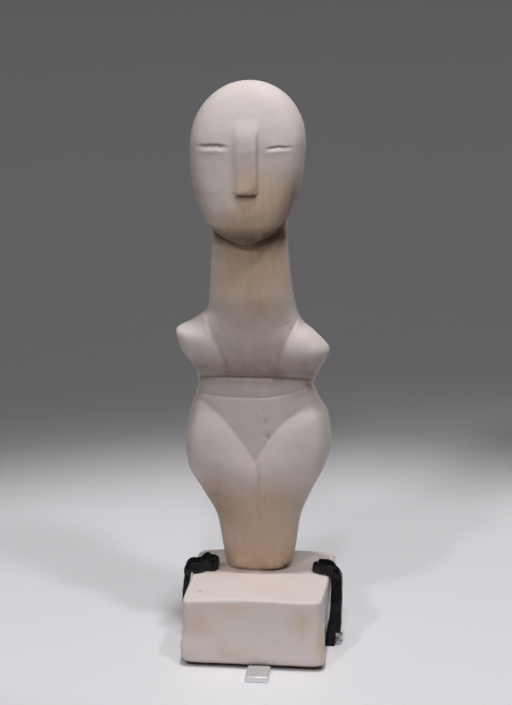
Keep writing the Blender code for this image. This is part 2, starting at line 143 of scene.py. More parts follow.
# Lines of the carving.  An upright line leans from its low end to its high end and bows between them.
# A level line is an arch: its top, how far it falls at 20 mm to the left and to the right, how squarely.
Bow = namedtuple("Bow", "low_x low_z high_x high_z bow")
Arch = namedtuple("Arch", "x z left right power")
ARM_LINE_LEFT = Bow(-12.0, 112.0, -23.0, 138.0, 0.4)
ARM_LINE_RIGHT = Bow(7.5, 112.0, 19.0, 137.0, -1.8)
LEG_LINE = Bow(-3.5, 30.0, -1.0, 75.0, 1.2)
BELT_TOP = Arch(-4.0, 108.5, 2.3, 1.2, 3.5)
BELT_FOOT = Arch(0.0, 101.1, 0.2, -4.1, 1.7)
SHOULDER_LINE = Arch(-22.5, 129.5, 16.0, 16.0, 2.0)
NOTCH = ((16.0, 107.0), (22.5, 100.5))

# Closed eyes: the slit's arch, from where to where it is full, how far a faint tail runs on at either end,
# the heights of its upper and lower walls, and its strength
Eye = namedtuple("Eye", "arch low high low_tail high_tail upper lower strength")
EYES = (
    Eye(Arch(-13.5, 201.7, 3.6, 3.6, 2.0), -19.8, -10.4, 2.5, 0.0, 1.2, 1.8, 0.9),
    Eye(Arch(9.0, 201.5, 7.6, 7.6, 2.0), 5.6, 12.8, 0.0, 5.0, 0.6, 1.6, 0.85),
)
EYE_WANDER = 0.30
EYE_TAIL = 0.2
EYE_LIP = 0.25

# Thighs, arms and belt: places and depths
LAP_FOOT = 74.0
LAP_RISE = 24.0
LAP_HALF_LEFT = 23.0
LAP_HALF_RIGHT = 28.0
LAP_CURVE_LEFT = 1.75
LAP_CURVE_RIGHT = 2.3
LAP_START = 44.0
LAP_BUILD = 34.0
THIGH_STEP = 0.7
THIGH_SWELL = 4.0
THIGH_REACH = 6.0
LEGS_FOOT = 27.0
LEGS_TOP = 76.0
LEG_GROOVE = 0.4
LEG_ROUNDING = 0.15
BELT_CUT = 1.4
BELT_REACH = 4.2
BAND_CUT = 0.45
BAND_REACH = 1.6
NOTCH_DEPTH = 2.2
NOTCH_SLANT = 0.69
ARM_FOOT = 111.5
ARM_TOP = 139.0
ARM_STEP = 1.0
ARM_SPREAD = 5.0
ARM_BARREL = 2.1
BARREL_MIDDLE = 120.5
BARREL_HALF = 10.0
SHOULDER_FACET = 0.3

# Toes: the middle and half width of each foot's lobe, their height and the seam under them
LEFT_TOES = (-9.4, 4.0)
RIGHT_TOES = (3.8, 5.4)
TOES_HEIGHT = 29.6
TOES_SWELL = 0.8
TOES_SEAM = 27.1
TOES_UNDERCUT = 0.6

# Nose
NOSE_TOP = 207.0
NOSE_FOOT = 184.3
NOSE_HALF_TOP = 4.3
NOSE_HALF_FOOT = 4.0
NOSE_X = -2.6
NOSE_SOFT_LEFT = 3.2
NOSE_SOFT_RIGHT = 1.2
NOSE_TIP = 0.4
NOSE_TIP_SIZE = 2.6
NOSE_BESIDE = 0.22
NOSE_UNDERCUT = 0.4
NOSE_HOLLOW = 0.35

# The plainer back
SPINE_DEPTH = 0.55
BACK_LEG_DEPTH = 0.75
SEAT_HEIGHT = 80.0
SEAT_CURVE = 0.006
SEAT_DEPTH = 0.35
BACK_BELT_HEIGHT = 105.0
BACK_BELT_DEPTH = 0.4

# How much darkening each kind of carving keeps in its cuts: dirt, and painted shade in its creases
ARM_DIRT_AND_SHADE = 0.15
BELT_DIRT_AND_SHADE = 0.24
LEG_DIRT_AND_SHADE = 0.2
EYE_DIRT_AND_SHADE = 0.45

# Where the figure's levels crowd together: height, reach up and down, and how many more
FINE_HEIGHTS = (
    (28.0, 2.5, 1.5), (102.0, 2.5, 1.2), (108.2, 1.6, 2.6), (129.3, 2.0, 0.6), (161.0, 3.0, 1.0),
    (184.0, 1.8, 2.8), (201.3, 1.8, 3.2),
)
FRONT_CROWDING = 0.53

# Small hurts in the surface: place across and up the front, half width, depth and how much dirt they hold
Pit = namedtuple("Pit", "x z size depth dirt")
PITS = (
    Pit(2.5, 91.5, 0.45, 0.25, 0.45),
    Pit(3.0, 86.0, 0.65, 0.25, 0.40),
    Pit(3.5, 85.0, 0.45, 0.20, 0.35),
    Pit(17.0, 67.5, 0.55, 0.30, 0.05),
    Pit(-1.5, 134.0, 0.5, 0.20, 0.25),
    Pit(11.0, 131.0, 0.5, 0.22, 0.35),
    Pit(12.5, 129.0, 0.45, 0.20, 0.30),
    Pit(16.0, 100.0, 2.2, 0.40, 0.10),
)

# Patches of brown earth stain on the front and on the base, some of the front ones painted shade: place, half
# sizes and strength
Patch = namedtuple("Patch", "x z wide tall strength")
FRONT_STAIN_AND_SHADE_PATCHES = (
    Patch(-1.0, 29.0, 16.0, 4.5, 1.45),
    Patch(-1.0, 42.0, 22.0, 19.0, 0.70),
    # painted shade low on the left thigh
    Patch(-18.0, 57.0, 8.0, 12.0, 0.55),
    Patch(3.0, 60.0, 11.0, 8.0, 0.36),
    Patch(0.8, 138.3, 4.0, 3.6, 0.35),
    # brown stain and painted shade just under the chin
    Patch(0.8, 158.5, 7.0, 3.2, 0.30),
    Patch(-1.5, 150.0, 20.0, 15.0, 0.72),
    # painted shade on the lower chest and under the arms, and on the chest in the head's shadow
    Patch(-2.0, 114.0, 24.0, 6.0, 0.30),
    Patch(-2.0, 126.0, 12.0, 12.0, 0.12),
    # brown stain and painted shade under the chin
    Patch(-1.0, 168.0, 20.0, 9.0, 0.72),
    Patch(8.0, 183.0, 13.0, 12.0, 0.46),
    Patch(-1.0, 178.0, 9.0, 9.0, 0.30),
    # painted shade on the nose's face
    Patch(-2.6, 189.0, 5.0, 7.0, 0.38),
    # painted shade at the right thigh's rim
    Patch(24.0, 68.0, 6.0, 9.0, 0.25),
)
BASE_PATCHES = (
    Patch(-22.0, 18.0, 6.0, 7.0, 0.35),
    Patch(-9.0, 24.5, 5.0, 3.5, 0.35),
    Patch(18.0, 20.0, 4.5, 7.0, 0.38),
    Patch(-10.0, 6.0, 6.0, 3.2, 0.35),
    Patch(25.5, 12.0, 1.8, 12.0, 0.5),
    Patch(-1.0, 26.8, 24.0, 1.4, 0.30),
)
TOP_PATCHES = (
    Patch(4.0, -12.0, 12.0, 8.0, 0.17),
    Patch(-12.0, 2.0, 9.0, 7.0, 0.14),
    Patch(17.0, -16.0, 8.0, 6.0, 0.08),
)

# Painted shade: patches on the thighs and brow, and bands across the front from height to height, the one under
# the chin with some brown grime too
SHADE_PATCHES = (
    Patch(-18.0, 56.0, 9.0, 12.0, 0.50),
    Patch(15.0, 56.0, 9.0, 10.0, 0.25),
    Patch(-2.0, 203.0, 9.0, 7.0, 0.12),
)
Band = namedtuple("Band", "low high soft strength")
SHADE_AND_GRIME_BANDS = (
    Band(162.5, 170.0, 5.5, 0.95),
    Band(155.0, 163.0, 5.0, 0.15),
    Band(101.0, 108.0, 3.0, 0.15),
    Band(72.0, 108.0, 10.0, 0.07),
)
# Painted shade along the jaw's sides with some brown grime, on the chest in the head's shadow, and along the
# body's rims
JAW_SHADE_AND_GRIME = 0.42
CHEST_SHADE = 0.32
RIM_SHADE = 0.35

# Display clips: sleeved flat straps bent over the base's top edges
STEM_TOP = 27.0
STRAP_CORNER = 12.0
CORNER_CROWDING = 0.13
GAP = 0.3
LAYER_FOOT = 5.6
LAYER_WANDER = 0.25
END_BEVEL = 0.45
SLEEVE_SHRINK = 0.065
CREASE_DEPTH = 0.05
FINE_CREASE_DEPTH = 0.025

# A clip's arm, station by station: share of the way from elbow to tip, thickness, width, roll of the section
# in degrees, and how far back
Station = namedtuple("Station", "share thick wide roll back")
LEFT_ARM = (
    Station(0.0, 2.4, 6.4, 0.0, 0.0),
    Station(0.13, 3.7, 6.6, 0.0, 0.0),
    Station(0.25, 4.3, 6.6, 0.0, 0.1),
    Station(0.31, 4.1, 7.0, 0.0, 0.4),
    Station(0.44, 4.2, 7.3, 0.0, 0.7),
    Station(0.69, 5.4, 6.0, 14.0, 1.4),
    Station(0.86, 4.7, 6.3, -9.0, 1.9),
    Station(0.95, 4.0, 5.4, 5.0, 2.2),
    Station(1.0, 3.2, 4.4, 0.0, 2.3),
)
RIGHT_ARM = (
    Station(0.0, 4.7, 5.4, 0.0, 0.0),
    Station(0.22, 3.4, 6.0, 0.0, 0.3),
    Station(0.40, 4.0, 7.0, 0.0, 1.4),
    Station(0.47, 4.2, 7.3, 0.0, 1.8),
    Station(0.64, 4.0, 6.8, 0.0, 2.5),
    Station(0.78, 4.0, 6.3, 0.0, 2.7),
    Station(0.84, 2.9, 5.0, 0.0, 2.8),
    Station(1.0, 2.6, 4.7, 0.0, 2.9),
)

# Each clip: side of the base, the strap's foot, knee and elbow, its place along the side, how far the foot
# slants forward, thickness at the elbow, at the foot and of the outer layer, the bend's radius, and the
# arm's reach, rise and stations
Clip = namedtuple(
    "Clip", "name side foot_x knee_x knee_z elbow_x y slant thick foot_thick layer bend reach rise arm"
)
CLIPS = (
    Clip("left_mount_clip", -1, 30.6, 30.6, 19.0, 29.45, 4.4, 0.0, 2.4, 2.4, 0.9, 2.2, 9.9, 0.03, LEFT_ARM),
    Clip(
        "right_mount_clip", 1, 27.0, 29.4, 15.0, 29.4, 3.2, 4.4, 4.7, 6.5, 2.0, 3.3, 6.4, -0.02, RIGHT_ARM,
    ),
)

# Bright metal tabs
TAB_WIDE = 8.8
TAB_DEEP = 9.5
TAB_THICK = 2.5
TAB_X = 1.8
SIDE_TAB_WIDE = 1.6
SIDE_TAB_DEEP = 3.3
SIDE_TAB_THICK = 2.4
SIDE_TAB_GAP = 0.9
TAB_CORNER = 26.0
TAB_BURR = 0.3
TAB_DENT = 0.03
TAB_COLUMNS = 96


# ---------------------------------------------------------------- curves and waves


def smooth_step(value):
    """Ease from 0 to 1 as the value goes from 0 to 1: three squares less two cubes."""
    t = np.clip(value, 0.0, 1.0)
    return t * t * (3.0 - 2.0 * t)


def bell(value, width):
    """A bell curve of height 1 at 0: e to the minus square of value over width."""
    return np.exp(-((value / width) ** 2))


def oval(x, z, centre_x, centre_z, wide, tall):
    """A bell over an oval: 1 in its middle, e to the minus square of the distance over its half sizes."""
    return bell(np.hypot((x - centre_x) / wide, (z - centre_z) / tall), 1.0)


def window(value, low, high, soft):
    """1 between low and high, easing to 0 over a soft distance at either end."""
    return smooth_step((value - low) / soft + 0.5) * smooth_step((high - value) / soft + 0.5)


def height_on(arch, x):
    """Height of a level line at a place across the front: its top less a power of the distance from it."""
    fall = np.where(x > arch.x, arch.right, arch.left)
    return arch.z - fall * (np.abs(x - arch.x) / 20.0) ** arch.power


def place_on(bow, z):
    """Place across the front of an upright line at a height: a straight line plus a parabola."""
    t = np.clip((z - bow.low_z) / (bow.high_z - bow.low_z), 0.0, 1.0)
    return bow.low_x + (bow.high_x - bow.low_x) * t + 4.0 * bow.bow * t * (1.0 - t)


def waves(x, y, z, length, seed):
    """Smooth unevenness between about -1 and 1: a quarter of the sum of nine plane waves near one length."""
    draw = np.random.default_rng(seed)
    total = 0.0
    for _ in range(9):
        way = draw.normal(size=3)
        way *= 2.0 * pi / (length * draw.uniform(0.7, 1.5) * np.linalg.norm(way))
        total = total + np.sin(way[0] * x + way[1] * y + way[2] * z + draw.uniform(0.0, 2.0 * pi))
    return total / 4.0


def unevenness(x, y, z, sizes):
    """Unevenness of several lengths: each sum of waves times its own height."""
    return sum(high * waves(x, y, z, length, seed) for high, length, seed in sizes)


def curve_through(height, field):
    """Read one half size of the body at any height, on a cubic with no bumps between the named levels."""
    z = np.array([level.height for level in LEVELS])
    v = np.array([getattr(level, field) for level in LEVELS])
    rise = np.diff(v) / np.diff(z)
    flat = rise[:-1] * rise[1:] <= 0.0
    mean = 2.0 * rise[:-1] * rise[1:] / np.where(flat, 1.0, rise[:-1] + rise[1:])
    slope = np.concatenate([rise[:1], np.where(flat, 0.0, mean), rise[-1:]])
    at = np.clip(np.searchsorted(z, height) - 1, 0, len(z) - 2)
    span = z[at + 1] - z[at]
    t = np.clip((height - z[at]) / span, 0.0, 1.0)
    start = v[at] * (1.0 + 2.0 * t) * (1.0 - t) ** 2 + span * slope[at] * t * (1.0 - t) ** 2
    return start + v[at + 1] * t * t * (3.0 - 2.0 * t) - span * slope[at + 1] * t * t * (1.0 - t)


# ---------------------------------------------------------------- the marble's surface


def reach_of_block(x_way, y_way, left, right, front, back, squareness):
    """Distance from the axis to a rounded block: the powers of both ways over its half sizes sum to 1."""
    half_x = np.where(x_way > 0.0, right, left)
    half_y = np.where(y_way > 0.0, back, front)
    share = (np.abs(x_way) / half_x) ** squareness + (np.abs(y_way) / half_y) ** squareness
    return share ** (-1.0 / squareness)


def reach_of_egg(x_way, y_way, centre_x, centre_y, half_x, half_y):
    """Distance from the axis to the far side of an off-centre ellipse, or 0 where the ray misses it."""
    square = (x_way / half_x) ** 2 + (y_way / half_y) ** 2
    across = x_way * centre_x / half_x**2 + y_way * centre_y / half_y**2
    rest = (centre_x / half_x) ** 2 + (centre_y / half_y) ** 2 - 1.0
    under = across**2 - square * rest
    far = (across + np.sqrt(np.maximum(under, 0.0))) / square
    return np.where(under > 0.0, np.maximum(far, 0.0), 0.0)


def softer_of(a, b, blend):
    """The larger of two lengths, with the crease between them rounded off."""
    near = np.maximum(blend - np.abs(a - b), 0.0) / blend
    return np.maximum(a, b) + near * near * blend * 0.25


def head_lean(height):
    """Sideways place of the head's axis at a height."""
    return HEAD_X + HEAD_LEAN * (height - HEAD_WIDEST)


def head_size(height):
    """Half width, half depth and centre of the head's ellipse: a round crown over a tapering jaw."""
    above = np.clip((height - HEAD_WIDEST) / (HEAD_TOP - HEAD_WIDEST), 0.0, 1.0)
    below = np.clip((HEAD_WIDEST - height) / (HEAD_WIDEST - CHIN), 0.0, 1.0)
    crown = np.sqrt(1.0 - above**2)
    half_x = HEAD_HALF_WIDTH * np.maximum(crown * np.sqrt(1.0 - below**JAW_TAPER), 1e-3)
    slant = np.sqrt(1.0 - above**CROWN_SLANT)
    half_y = 0.5 * (HEAD_FRONT + HEAD_BACK) * np.maximum(slant * np.sqrt(1.0 - below**FACE_FULLNESS), 1e-3)
    centre_y = 0.5 * (HEAD_BACK - HEAD_FRONT) + FACE_TILT * (height - HEAD_WIDEST)
    return half_x, half_y, head_lean(height), centre_y


def lap_edge(x):
    """Height of the thigh's upper edge at a distance from the body's axis."""
    half = np.where(x > 0.0, LAP_HALF_RIGHT, LAP_HALF_LEFT)
    power = np.where(x > 0.0, LAP_CURVE_RIGHT, LAP_CURVE_LEFT)
    return LAP_FOOT + LAP_RISE * (1.0 - (1.0 - np.clip(np.abs(x) / half, 0.0, 1.0)) ** power)


def bare_figure(height, turn):
    """The uncarved figure: in each direction, the further of the body's block and the head's egg.

    Above the neck the rings' centre moves over to the head's own axis.
    """
    left, right, front, back = (curve_through(height, side) for side in ("left", "right", "front", "back"))
    head_x, head_y, centre_x, centre_y = head_size(height)
    in_head = height > CHIN
    widest = np.maximum(left + right, 2.0 * head_x * in_head)
    deepest = np.maximum(front + back, 2.0 * head_y * in_head)
    x_way = np.cos(turn) + 0.0 * height
    y_way = np.sin(turn) * deepest / widest
    closing = 1.0 - 0.6 * smooth_step((height - NECK_END + NECK_CLOSING) / NECK_CLOSING)
    sides = (side * closing for side in (left, right, front, back))
    body = reach_of_block(x_way, y_way, *sides, BODY_ROUNDNESS)
    follow = smooth_step((height - NECK_END) / 20.0)
    head = reach_of_egg(x_way, y_way, centre_x * (1.0 - follow), centre_y * (1.0 - follow), head_x, head_y)
    blend = CHIN_BLEND + (NAPE_BLEND - CHIN_BLEND) * smooth_step(1.4 * y_way * widest / deepest)
    joined = np.where(height > NECK_END + 2.0, head, softer_of(body, head, blend))
    reach = np.where(in_head, joined, body)
    return FIGURE_X + centre_x * follow + x_way * reach, FIGURE_Y + centre_y * follow + y_way * reach


def arm_relief(x, z, carving):
    """The arms stand proud of the chest past a slanting line, and swell like barrels up their length."""
    from_left = place_on(ARM_LINE_LEFT, z) - x
    from_right = x - place_on(ARM_LINE_RIGHT, z)
    zone = smooth_step((z - ARM_FOOT) / 7.0) * smooth_step((ARM_TOP - z) / 8.0)
    step = smooth_step(from_left / 1.1 + 0.5) + smooth_step(from_right / 1.5 + 0.5)
    spread = smooth_step(from_left / ARM_SPREAD + 0.3) + smooth_step(from_right / ARM_SPREAD + 0.3)
    barrel = ARM_BARREL * np.maximum(1.0 - ((z - BARREL_MIDDLE) / BARREL_HALF) ** 2, 0.0)
    rim = 0.3 * bell(from_left - 0.8, 0.7) + 0.2 * bell(from_right - 1.0, 0.8)
    foot = bell(from_left + 0.8, 0.8) + bell(from_right + 0.9, 0.9)
    facet = SHOULDER_FACET * bell(z - height_on(SHOULDER_LINE, x), 1.1) * window(x, -31.0, -20.0, 3.0)
    shape = (ARM_STEP * step + rim - 0.06 * foot) * zone + facet + barrel * (0.35 + 0.65 * spread)
    # The second share is painted shade with some dirt in the crease at the foot of each arm's step
    return carving * shape, foot * zone


def drawn_in(past, reach, wall):
    """Depth about a cut's edge: full on it, dying away above it over a reach, ended below it by a wall."""
    return np.where(past > 0.0, np.exp(-np.maximum(past, 0.0) / reach), 1.0 - smooth_step(-past / wall))


def belt_relief(x, z, carving):
    """Chest and band each draw in to a steep-walled cut; at the right a notch slants down and out."""
    above = z - height_on(BELT_TOP, x)
    under = z - height_on(BELT_FOOT, x)
    upper, lower = drawn_in(above, BELT_REACH, 0.6), drawn_in(under, BAND_REACH, 0.7)
    fade = smooth_step((x + 25.0) / 6.0) * smooth_step((22.0 - x) / 4.0)
    (start_x, start_z), (end_x, end_z) = NOTCH
    along = np.clip((x - start_x) / (end_x - start_x), 0.0, 1.0)
    off = (z - start_z - (end_z - start_z) * along) * NOTCH_SLANT
    notch = smooth_step(along * 1.6) * bell(off, 1.1)
    shape = -BELT_CUT * upper - BAND_CUT * lower * fade - NOTCH_DEPTH * notch
    # Darkening along both cuts and deepest in the notch: painted shade with some dirt
    dirt = bell(above - 0.2, 0.5) + 0.6 * bell(under - 0.1, 0.4) * fade + 2.6 * notch * bell(off, 0.8)
    return carving * shape, dirt


def leg_relief(x, z, carving):
    """Thighs that step up at a curved edge and swell away from it, a groove between the legs."""
    across = x - FIGURE_X
    slope = lap_edge(across + 0.5) - lap_edge(across - 0.5)
    away = (lap_edge(across) - z) / np.sqrt(1.0 + slope**2)
    low = smooth_step((z - LAP_START) / LAP_BUILD)
    step = THIGH_STEP * smooth_step(away + 0.5)
    swell = THIGH_SWELL * (1.0 - np.exp(-np.maximum(away, 0.0) / THIGH_REACH))
    foot = bell(away + 0.5, 0.8) * smooth_step((z - LAP_FOOT + 2.0) / 3.0)
    between = smooth_step((z - LEGS_FOOT) / 4.0) * smooth_step((LEGS_TOP - z) / 4.0)
    off = x - place_on(LEG_LINE, z)
    groove = bell(off, 0.9) * between * (0.35 + 0.65 * smooth_step((z - 56.0) / 14.0))
    round_off = bell(off, 2.6) * between
    shape = (step + swell) * low - 0.06 * foot - LEG_GROOVE * groove - LEG_ROUNDING * round_off
    # The second share is painted shade with some dirt under the thighs' edge and in the groove between the legs
    return carving * shape, 0.5 * foot + 0.45 * groove * smooth_step((z - 60.0) / 9.0)


def foot_relief(x, z):
    """Two rounded toes-together lobes at the very foot, undercut where they meet the base."""
    left, right = (bell(x - middle, half) for middle, half in (LEFT_TOES, RIGHT_TOES))
    swell = TOES_SWELL * bell(z - TOES_HEIGHT, 2.4) * np.maximum(left, right)
    under = TOES_UNDERCUT * bell(z - TOES_SEAM, 0.9) * np.maximum(0.5 * left, right)
    seam = bell(z - TOES_SEAM - 0.1, 0.8) * np.maximum(0.55 * left, right)
    beside = 1.2 * oval(x, z, 9.6, 28.2, 2.0, 1.4)
    # The second share is painted shade in the seam under the toes, and a painted shadow in the dark gap beside
    # the right toe
    return swell - under, seam + beside


def eye_relief(x, z, depth):
    """Closed eyes: slits with a steep upper wall, and a lower wall that slopes slowly out to a low lip."""
    total, dirt = 0.0, 0.0
    wander = EYE_WANDER * waves(x, 0.0, 0.0, 2.6, 61)
    for eye in EYES:
        above = z - height_on(eye.arch, x) - wander * eye.upper
        tail = EYE_TAIL * window(x, eye.low - eye.low_tail, eye.high + eye.high_tail, 2.0)
        along = (window(x, eye.low, eye.high, 4.5) * (1.0 + 0.5 * wander) + tail) * eye.strength
        wall = 1.0 - smooth_step(np.where(above > 0.0, above / eye.upper, -above / eye.lower))
        total = total - depth * along * (wall - EYE_LIP * bell(above + eye.lower, 0.8))
        # Darkening under each slit's upper wall: painted shade with some dirt
        dirt = dirt + along * bell(above - 0.25 * eye.upper, 0.5 * eye.upper + 0.1)
    return total, dirt


def face_relief(x, z):
    """What a flatter, shield-like face adds to the head's ellipse: a squarer curve less the round one."""
    half_x, half_y, centre_x, _ = head_size(z)
    share = np.clip(np.abs(x - FIGURE_X - centre_x) / half_x, 0.0, 0.98)
    square = (1.0 - share**FACE_FLATNESS) ** (1.0 / FACE_FLATNESS)
    fade = smooth_step((z - CHIN - 1.0) / 8.0) * smooth_step((HEAD_TOP - z) / 5.0)
    return half_y * (square - np.sqrt(1.0 - share**2)) * fade


def nose_relief(x, z, height):
    """A long flat ridge that grows out of the brow, its tip a small rounded lobe that is cut under."""
    along = np.clip((z - NOSE_FOOT) / (NOSE_TOP - NOSE_FOOT), 0.0, 1.0)
    half = NOSE_HALF_FOOT + (NOSE_HALF_TOP - NOSE_HALF_FOOT) * along
    off, up = x - NOSE_X, z - NOSE_FOOT
    right_side = smooth_step(off / 2.0 + 0.5)
    soft = NOSE_SOFT_LEFT + (NOSE_SOFT_RIGHT - NOSE_SOFT_LEFT) * right_side
    side = smooth_step((half - np.abs(off)) / soft + 0.5)
    lens = np.sqrt(np.maximum(1.0 - (off / (half - 0.1)) ** 2, 0.0))
    foot = smooth_step((up + 0.5 * lens - 0.3) / 0.8 + 0.5)
    ridge = height * (0.8 + 0.2 * along) * side * foot * smooth_step((NOSE_TOP + 5.0 - z) / 7.0)
    tip = NOSE_TIP * oval(off, up, -0.7, 1.7, NOSE_TIP_SIZE, NOSE_TIP_SIZE) * foot
    flank = window(z, NOSE_FOOT - 1.0, NOSE_TOP - 4.0, 12.0)
    beside = NOSE_BESIDE * bell(np.abs(off) - half - 1.2, 2.6) * flank
    groove = bell(off - half, 0.6) * window(z, NOSE_FOOT, NOSE_TOP - 1.0, 4.0) * (0.15 + 0.85 * right_side)
    under = bell((up + 0.9) / (0.3 + 0.95 * lens), 1.0) * smooth_step(lens * 1.6)
    hollow = NOSE_HOLLOW * oval(off, up, 0.0, -2.0, 5.5, 3.0) * (1.0 - foot * side)
    shape = ridge + tip - beside - 0.1 * groove - NOSE_UNDERCUT * under - hollow
    # The second share is dirt and painted shade under the tip, and painted shade along the ridge's right side
    # and at the tip's right
    return shape, 0.85 * under + 0.3 * groove + 0.4 * oval(off, up, 2.9, 1.5, 1.2, 2.2)


def pit_relief(x, z):
    """Small round hurts: a bell-shaped dent at each."""
    total, dirt = 0.0, 0.0
    for pit in PITS:
        hole = oval(x, z, pit.x, pit.z, pit.size, pit.size)
        total = total - pit.depth * hole
        dirt = dirt + hole * pit.dirt
    return total, dirt


def back_relief(x, z):
    """The plainer back: a shallow furrow down the spine and between the legs, a soft crease at the seat."""
    off = x - FIGURE_X
    legs = window(z, LEGS_FOOT + 1.0, 84.0, 8.0)
    belt = bell(z - BACK_BELT_HEIGHT, 0.9)
    spine = SPINE_DEPTH * bell(off, 1.6) * window(z, 92.0, 150.0, 14.0)
    seat = SEAT_DEPTH * bell(z - SEAT_HEIGHT - SEAT_CURVE * off**2, 1.6) * window(off, -16.0, 16.0, 9.0)
    shape = -(spine + BACK_LEG_DEPTH * bell(off, 1.3) * legs + seat + BACK_BELT_DEPTH * belt)
    # The second share darkens the furrow between the legs and the belt's crease: painted shade with some dirt
    return shape, 0.4 * bell(off, 1.2) * legs + 0.12 * belt


def figure_surface(height, turn, look):
    """The carved figure on a grid of height and turn, with its share of dirt and painted shade, and its share
    of stain, some of which is painted shade too.
    """
    x, y = bare_figure(height, turn)
    z = height + 0.0 * turn
    front, rear = smooth_step(-np.sin(turn) * 1.6), smooth_step(np.sin(turn) * 1.6)
    carved, dirt = face_relief(x, z), 0.0
    for kept, (shape, held) in (
        (ARM_DIRT_AND_SHADE, arm_relief(x, z, look.carving)),
        (BELT_DIRT_AND_SHADE, belt_relief(x, z, look.carving)),
        (LEG_DIRT_AND_SHADE, leg_relief(x, z, look.carving)),
        (1.0, foot_relief(x, z)),
        (EYE_DIRT_AND_SHADE, eye_relief(x, z, look.eye_depth / MM)),
        (1.0, nose_relief(x, z, look.nose_height / MM)),
        (1.0, pit_relief(x, z)),
    ):
        carved = carved + shape
        dirt = dirt + kept * held
    back, back_dirt_and_shade = back_relief(x, z)
    crown = smooth_step((HEAD_TOP - 0.4 - z) / 3.0)
    push = (unevenness(x, y, z, FIGURE_WAVES) - 0.12) * crown * smooth_step((z - LEGS_FOOT) / 3.0)
    x = x + 0.35 * np.cos(turn) * push
    y = y + np.sin(turn) * push - carved * front + back * rear
    # Dirt and painted shade of the carving, plus the painted shade and grime of the front
    dirt = (dirt + front_shade_and_grime(x, z)) * front + back_dirt_and_shade * rear
    return x, y, z, dirt, stained_by(FRONT_STAIN_AND_SHADE_PATCHES, x, z) * (0.35 + 0.65 * front)


def stained_by(patches, x, z):
    """Summed strength of soft oval patches at a place."""
    return sum(patch.strength * oval(x, z, patch.x, patch.z, patch.wide, patch.tall) for patch in patches)


def front_shade_and_grime(x, z):
    """Painted shade under the jaw and arms, on the chest, in the waist, along the rims and on the lower thighs
    and brow, with some old brown grime under the jaw and chin.
    """
    half_x, _, centre_x, _ = head_size(np.maximum(z, CHIN + 0.5))
    across_head = np.abs(x - FIGURE_X - centre_x) / half_x
    more_right = 0.8 + 0.9 * smooth_step(x / 8.0 + 0.5)
    jaw = JAW_SHADE_AND_GRIME * smooth_step((across_head - 0.55) / 0.45) * window(z, CHIN, 190.0, 16.0) * more_right
    chest = CHEST_SHADE * window(z, 108.0, 140.0, 7.0) * window(x, -17.0, 12.0, 8.0)
    outwards = smooth_step((np.abs(x + 2.0) - 13.0) / 6.0)
    arms = 0.30 * bell(z - 110.5, 5.2) + 0.35 * bell(z - 113.0, 6.5) * outwards
    half_body = np.where(x < FIGURE_X, curve_through(z, "left"), curve_through(z, "right"))
    across_body = np.abs(x - FIGURE_X) / half_body
    rim = RIM_SHADE * smooth_step((across_body - 0.82) / 0.18) * window(z, 40.0, 122.0, 8.0)
    bands = sum(band.strength * window(z, band.low, band.high, band.soft) for band in SHADE_AND_GRIME_BANDS)
    return jaw + chest + arms + rim + bands + stained_by(SHADE_PATCHES, x, z)


def figure_heights(count):
    """Levels spread evenly along the outline, closer together where the carving is fine."""
    z = np.linspace(LEVELS[0].height, HEAD_TOP - 0.003, 9001)
    body = np.where(z < CHIN + 8.0, curve_through(z, "left"), 0.0)
    wide = np.maximum(body, np.where(z > CHIN, head_size(z)[0], 0.0))
    crowd = 1.0 + sum(extra * bell(z[1:] - height, reach) for height, reach, extra in FINE_HEIGHTS)
    along = np.concatenate([[0.0], np.cumsum(np.hypot(np.diff(z), np.diff(wide)) * crowd)])
    return np.interp(np.linspace(0.0, along[-1], count + 1), along, z)[1:]


def base_top(x, y):
    """Height of the base's top: gently crowned, lower to the left, with a shallow hollow round the feet."""
    fall = np.where(x < 0.0, BASE_FALL_LEFT, BASE_FALL_RIGHT) * (x / BASE_LEFT) ** 2
    off = np.hypot((x - FIGURE_X) / HOLLOW_HALF_WIDTH, (y - FIGURE_Y) / HOLLOW_HALF_DEPTH)
    return BASE_TOP - fall - HOLLOW_DEPTH * smooth_step((1.15 - off) / 0.5)


def base_side_profile(x_way, count):
    """The side's profile from the foot up: share of its height, turn of its rounded edge, and inset."""
    foot = np.linspace(0.0, 1.0, 9)[:, None]
    side = np.linspace(0.0, 1.0, count)[1:, None]
    bend = np.linspace(0.0, 0.5 * pi, 9)[1:, None]
    low = (BASE_FOOT_HEIGHT + BASE_FOOT_RISE * x_way) / BASE_TOP
    share = np.concatenate([low * foot, low + (1.0 - low) * side, 1.0 + 0.0 * bend * x_way])
    angle = np.concatenate([0.0 * foot, 0.0 * side, bend])
    tucked = BASE_FOOT_INSET * (1.0 - foot) + BASE_FOOT_STEP * foot
    inset = np.concatenate([tucked, BASE_FOOT_STEP * (1.0 - smooth_step(side * 14.0)), 0.0 * bend])
    return share, angle, inset


